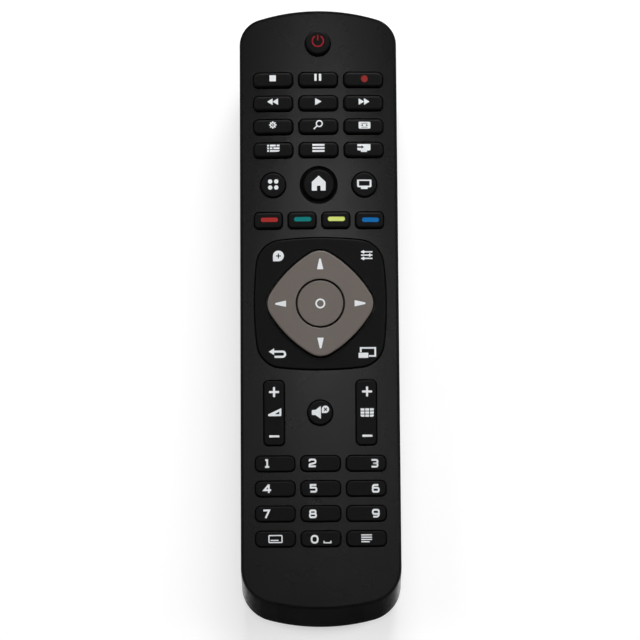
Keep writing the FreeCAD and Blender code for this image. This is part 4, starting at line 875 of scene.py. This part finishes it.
@dataclass
class KeyField(PrintedSection):
    """Keys with straight travel and their marks.

    Attributes:
        figure_stroke_mm: line width of the figures.
        figure_size: width and height of the figures, as a share of their drawing.
        bar_width_mm: colour bar, along X.
        bar_height_mm: colour bar, along Y.
        bar_rounding: rounding of its corners, as a share of its height.
    """

    figure_stroke_mm: float = 0.54
    figure_size: Pair = (0.90, 0.97)
    bar_width_mm: float = 5.3
    bar_height_mm: float = 1.36
    bar_rounding: float = 0.46

    def centre(self, node: str) -> Vector:
        """Middle of a node."""
        low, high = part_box(node)
        return (low + high) / 2

    def put(self, node: str, shift_x: float, shift_y: float, ink: Ink,
            layers: list[Layer], suffix: str = "mark") -> None:
        """Print a mark at a shift in millimetres from a key's centre."""
        place = self.centre(node)
        self.printer.mark(f"{node}_{suffix}", node, place.x + shift_x * MM,
                          place.y + shift_y * MM, layers, ink)

    def build(self) -> None:
        """Dress the keys and print every mark."""
        for name, node in self.nodes.items():
            if name.endswith("_key") and name != "ok_key":
                self.shelf.dress(node, "key_rubber")
        self.put("power_key", 0, 0.45, Ink.RED, power_mark())
        for node, mark in (menu_marks() | round_marks()).items():
            self.put(node, *mark)
        bar = [[plate(0, 0, self.bar_width_mm, self.bar_height_mm,
                      self.bar_height_mm * self.bar_rounding)]]
        for node, x, y, ink in (("red_key", 0.3, 0.25, Ink.BAR_RED),
                                ("green_key", 0.2, 0.35, Ink.BAR_GREEN),
                                ("yellow_key", 0.2, 0.38, Ink.BAR_YELLOW),
                                ("blue_key", 0.3, 0.08, Ink.BAR_BLUE)):
            self.put(node, x, y, ink, bar)
        self.figures()

    def figures(self) -> None:
        """Print the figures, and the other marks of the last row."""
        shifts = {"1": (-2.55, 0.15), "2": (-2.5, 0.22), "3": (2.62, 0.0), "4": (-2.5, 0.12),
                  "5": (-2.28, 0.14), "6": (2.95, 0.0), "7": (-2.7, 0.1), "8": (-2.47, 0.0),
                  "9": (2.92, 0.06), "0": (-1.98, -0.1)}
        for digit, (x, y) in shifts.items():
            self.put(f"digit_{digit}_key", x, y, Ink.WHITE,
                     figure(digit, self.figure_stroke_mm, self.figure_size))
        space = [band([(-1.05, 0.42), (-1.05, -0.18), (1.05, -0.18), (1.05, 0.42)], 0.34)]
        self.put("digit_0_key", 1.98, -1.02, Ink.WHITE, space, "space")
        for node, mark in page_marks().items():
            self.put(node, *mark)


@dataclass
class Rockers(PrintedSection):
    """The two rockers with their plus, minus and middle marks.

    Attributes:
        span_mm: width and height of a plus, and length of a minus.
        stroke_mm: line width of both.
        plus_rounding: rounding of the ends of a plus, as a share of its line width.
        minus_rounding: rounding of a minus, as a share of its line width.
        plus_y_mm: place of a plus above the rocker's centre.
        minus_y_mm: place of a minus.
    """

    span_mm: float = 3.15
    stroke_mm: float = 0.66
    plus_rounding: float = 0.35
    minus_rounding: float = 0.36
    plus_y_mm: float = 6.55
    minus_y_mm: float = -7.2

    def plus(self) -> list[Layer]:
        """A cross with rounded ends."""
        rounding = self.stroke_mm * self.plus_rounding
        return [[eased(cross(self.span_mm / 2, self.stroke_mm / 2),
                       [0.0, rounding, rounding] * 4)]]

    def build(self) -> None:
        """Dress both rockers and print their marks."""
        minus = [[plate(0, 0, self.span_mm, self.stroke_mm,
                        self.stroke_mm * self.minus_rounding)]]
        for node, middle, aside in (("volume_rocker", wedge_mark(), 0.0),
                                    ("programme_rocker", grid_mark(), 0.28)):
            self.shelf.dress(self.nodes[node], "key_rubber")
            low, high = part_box(node)
            x, y = (low.x + high.x) / 2 + aside * MM, (low.y + high.y) / 2
            for name, shift, layers in (("plus", self.plus_y_mm, self.plus()),
                                        ("middle", 0.0, middle),
                                        ("minus", self.minus_y_mm, minus)):
                self.printer.mark(f"{node}_{name}", node, x, y + shift * MM, layers)


@dataclass
class NavigationCluster(PrintedSection):
    """Direction pad, select key and corner panel.

    Attributes:
        arrow_tip_mm: tip of an arrow, from the pad's centre.
        arrow_base_mm: its base.
        arrow_half_mm: half width of its base.
        arrow_blunt_mm: half width of its tip.
        arrow_rounding_mm: rounding of its corners.
        select_ring_mm: outer and inner radius of the ring on the select key.
        paint_from: how far up a painted face points; the darker walls are partly painted shade.
    """

    arrow_tip_mm: float = 14.0
    arrow_base_mm: float = 10.65
    arrow_half_mm: float = 1.0
    arrow_blunt_mm: float = 0.24
    arrow_rounding_mm: float = 0.12
    select_ring_mm: Pair = (1.55, 1.05)
    paint_from: float = 0.8

    def build(self) -> None:
        """Dress the three keys and print their marks."""
        self.shelf.dress(self.nodes["corner_panel"], "panel_plastic")
        # Walls in dark panel plastic: partly unpainted sides, partly painted shade of the gap
        # round the pad
        for painted in ("dpad_ring", "ok_key"):
            self.shelf.dress(self.nodes[painted], "pad_paint")
            self.shelf.dress_walls(self.nodes[painted], "panel_plastic", self.paint_from)
        low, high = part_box("dpad_ring")
        centre = (low + high) / 2
        tip, base = self.arrow_tip_mm, self.arrow_base_mm
        half, blunt = self.arrow_half_mm, self.arrow_blunt_mm
        arrow = eased([(tip, blunt), (base, half), (base, -half), (tip, -blunt)],
                      self.arrow_rounding_mm)
        for name, degrees in (("right", 0), ("up", 90), ("left", 180), ("down", 270)):
            self.printer.mark(f"arrow_{name}", "dpad_ring", centre.x, centre.y,
                              [[turned(arrow, degrees)]])
        ring = [[disc(0, 0, radius) for radius in self.select_ring_mm]]
        self.printer.mark("select_mark", "ok_key", centre.x, centre.y, ring)
        for name, x, y, layers in panel_marks():
            self.printer.mark(name, "corner_panel", centre.x + x * MM, centre.y + y * MM, layers)


@dataclass
class Inside(Section):
    """Everything under the front: board, mat, batteries and electronics."""

    def build(self, slots: dict[str, str]) -> None:
        """Dress what the other sections haven't, by each node's slot in the record."""
        for name, node in self.nodes.items():
            if node.name not in self.shelf.dressed:
                self.shelf.dress(node, slots[name])


# Studio and camera

PURE_WHITE = (1, 1, 1, 1)


@dataclass(frozen=True)
class Lamp:
    """A soft rectangular lamp.

    Attributes:
        name: the lamp's name.
        place: where it hangs.
        size: its width and height.
        watts: its power.
        aim: the point that it faces.
    """

    name: str
    place: Place
    size: Pair
    watts: float
    aim: Place = (0, 0, 0)

    def build(self) -> None:
        """Hang the lamp."""
        data = bpy.data.lights.new(self.name, "AREA")
        data.shape = "RECTANGLE"
        data.size, data.size_y = self.size
        data.energy = self.watts
        lamp = bpy.data.objects.new(self.name, data)
        bpy.context.scene.collection.objects.link(lamp)
        lamp.location = self.place
        lamp.rotation_mode = "QUATERNION"
        forward = Vector(self.aim) - Vector(self.place)
        lamp.rotation_quaternion = forward.to_track_quat("-Z", "Y")


@dataclass
class Studio:
    """Pale floor, soft lamps and the camera at the photograph's angle.

    Attributes:
        plate_level: height of the front above the floor.
        distance: camera to the front, straight down.
        foot_y: place along Y over which the camera stands.
        aim_x: place along X of the front's point in the middle of the picture.
        aim_y: its place along Y.
        roll: turn of the camera, in degrees.
        lens_mm: focal length.
        sensor_mm: width of the camera's sensor.
        clip: nearest and farthest distance that the camera shows.
        floor_size: side of the floor.
        floor_tones: darkest and lightest tone of the floor.
        floor_clouds: clouds of tone per metre.
        floor_roughness: how matt the floor is.
        floor_glow: the floor's own light where it is seen.
        even_light: the world's light on the object.
        mirrored: how bright glossy faces show the world.
    """

    LAMPS = (
        Lamp("key_lamp", (0.12, 1.25, 0.60), (0.60, 0.35), 19.5, aim=(0, 0.03, 0)),
        Lamp("strip_lamp", (0.015, 0.120, 1.02), (0.22, 0.14), 0.74),
        Lamp("left_strip", (-0.36, 0.02, 1.0), (0.08, 0.50), 0.23),
        Lamp("right_strip", (0.38, 0.02, 1.0), (0.08, 0.50), 0.34),
        Lamp("left_lamp", (-1.1, 0.30, 0.9), (0.5, 0.7), 4.5),
        Lamp("right_lamp", (1.1, 0.30, 0.9), (0.5, 0.7), 5.5),
    )

    plate_level: float
    distance: float = 1.0
    foot_y: float = -0.0707
    aim_x: float = 0.00012
    aim_y: float = -0.00064
    roll: float = 0.375
    lens_mm: float = 181.4
    sensor_mm: float = 36.0
    clip: Pair = (0.01, 50.0)
    floor_size: float = 8.0
    floor_tones: Pair = (0.56, 0.58)
    floor_clouds: float = 3.0
    floor_roughness: float = 0.9
    floor_glow: float = 0.57
    even_light: float = 0.05
    mirrored: float = 0.12

    def camera(self) -> None:
        """Make the camera."""
        data = bpy.data.cameras.new("camera")
        data.lens = self.lens_mm
        data.sensor_width = self.sensor_mm
        data.clip_start, data.clip_end = self.clip
        camera = bpy.data.objects.new("camera", data)
        bpy.context.scene.collection.objects.link(camera)
        target = Vector((self.aim_x, self.aim_y, self.plate_level))
        place = Vector((self.aim_x, self.foot_y, self.plate_level + self.distance))
        back = (place - target).normalized()
        turn = math.radians(self.roll)
        up = Vector((math.sin(turn), math.cos(turn), 0))
        right = up.cross(back).normalized()
        axes = Matrix((right, back.cross(right), back)).transposed()
        camera.matrix_world = Matrix.Translation(place) @ axes.to_4x4()
        bpy.context.scene.camera = camera

    @staticmethod
    def rays(kit: Tree, *kinds: str) -> Socket:
        """1 for rays of any of these kinds, and 0 for others."""
        path = kit.node("ShaderNodeLightPath").outputs
        found = path[f"Is {kinds[0]} Ray"]
        for kind in kinds[1:]:
            found = kit.math("MAXIMUM", found, path[f"Is {kind} Ray"])
        return found

    def world(self) -> None:
        """Dim even light, with a white background where it is seen."""
        world = bpy.data.worlds.new("studio")
        bpy.context.scene.world = world
        world.use_nodes = True
        kit = Tree(world.node_tree)
        background = world.node_tree.nodes["Background"]
        background.inputs["Color"].default_value = PURE_WHITE
        glossy = kit.math("MULTIPLY", self.rays(kit, "Glossy"), self.mirrored)
        lit = kit.math("MAXIMUM", glossy, self.even_light)
        shown = self.rays(kit, "Camera", "Transmission")
        kit.feed(background.inputs["Strength"], kit.math("MAXIMUM", shown, lit))

    def floor(self) -> None:
        """A pale floor."""
        select_only()
        bpy.ops.mesh.primitive_plane_add(size=self.floor_size, location=(0, 0, 0))
        floor = bpy.context.object
        floor.name = "floor"
        made = bpy.data.materials.new("floor_paper")
        made.use_nodes = True
        kit = Tree(made.node_tree)
        shader = made.node_tree.nodes["Principled BSDF"]
        place = kit.node("ShaderNodeTexCoord").outputs["Object"]
        darkest, lightest = self.floor_tones
        tone = kit.ramp(kit.noise(place, self.floor_clouds), low=0.3, high=0.7,
                        to_low=darkest, to_high=lightest)
        kit.feed(shader.inputs["Base Color"], tone)
        shader.inputs["Roughness"].default_value = self.floor_roughness
        shader.inputs["Emission Color"].default_value = PURE_WHITE
        seen = self.rays(kit, "Camera", "Glossy", "Transmission")
        kit.feed(shader.inputs["Emission Strength"], kit.math("MULTIPLY", seen, self.floor_glow))
        floor.data.materials.append(made)

    def build(self) -> None:
        """Make floor, lamps, world and camera."""
        self.floor()
        self.world()
        for lamp in self.LAMPS:
            lamp.build()
        self.camera()
        bpy.context.scene.view_settings.view_transform = "Standard"


def main() -> None:
    logging.basicConfig(level=logging.INFO, format="%(message)s")
    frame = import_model()
    record = frame["record"]
    nodes = frame["nodes"]
    body_of = {n: body for body, names in record["behaviour"]["bodies"].items() for n in names}
    slots = {row["node"]: row["material_slot"] for row in record["subparts"]}
    shelf = Shelf()
    printer = Printer(nodes, body_of, shelf)

    CaseShells(shelf, nodes).build()
    KeyField(shelf, nodes, printer).build()
    Rockers(shelf, nodes, printer).build()
    NavigationCluster(shelf, nodes, printer).build()
    Inside(shelf, nodes).build(slots)
    Studio(plate_level=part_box("front_case")[1].z).build()


if __name__ == "__main__":
    main()
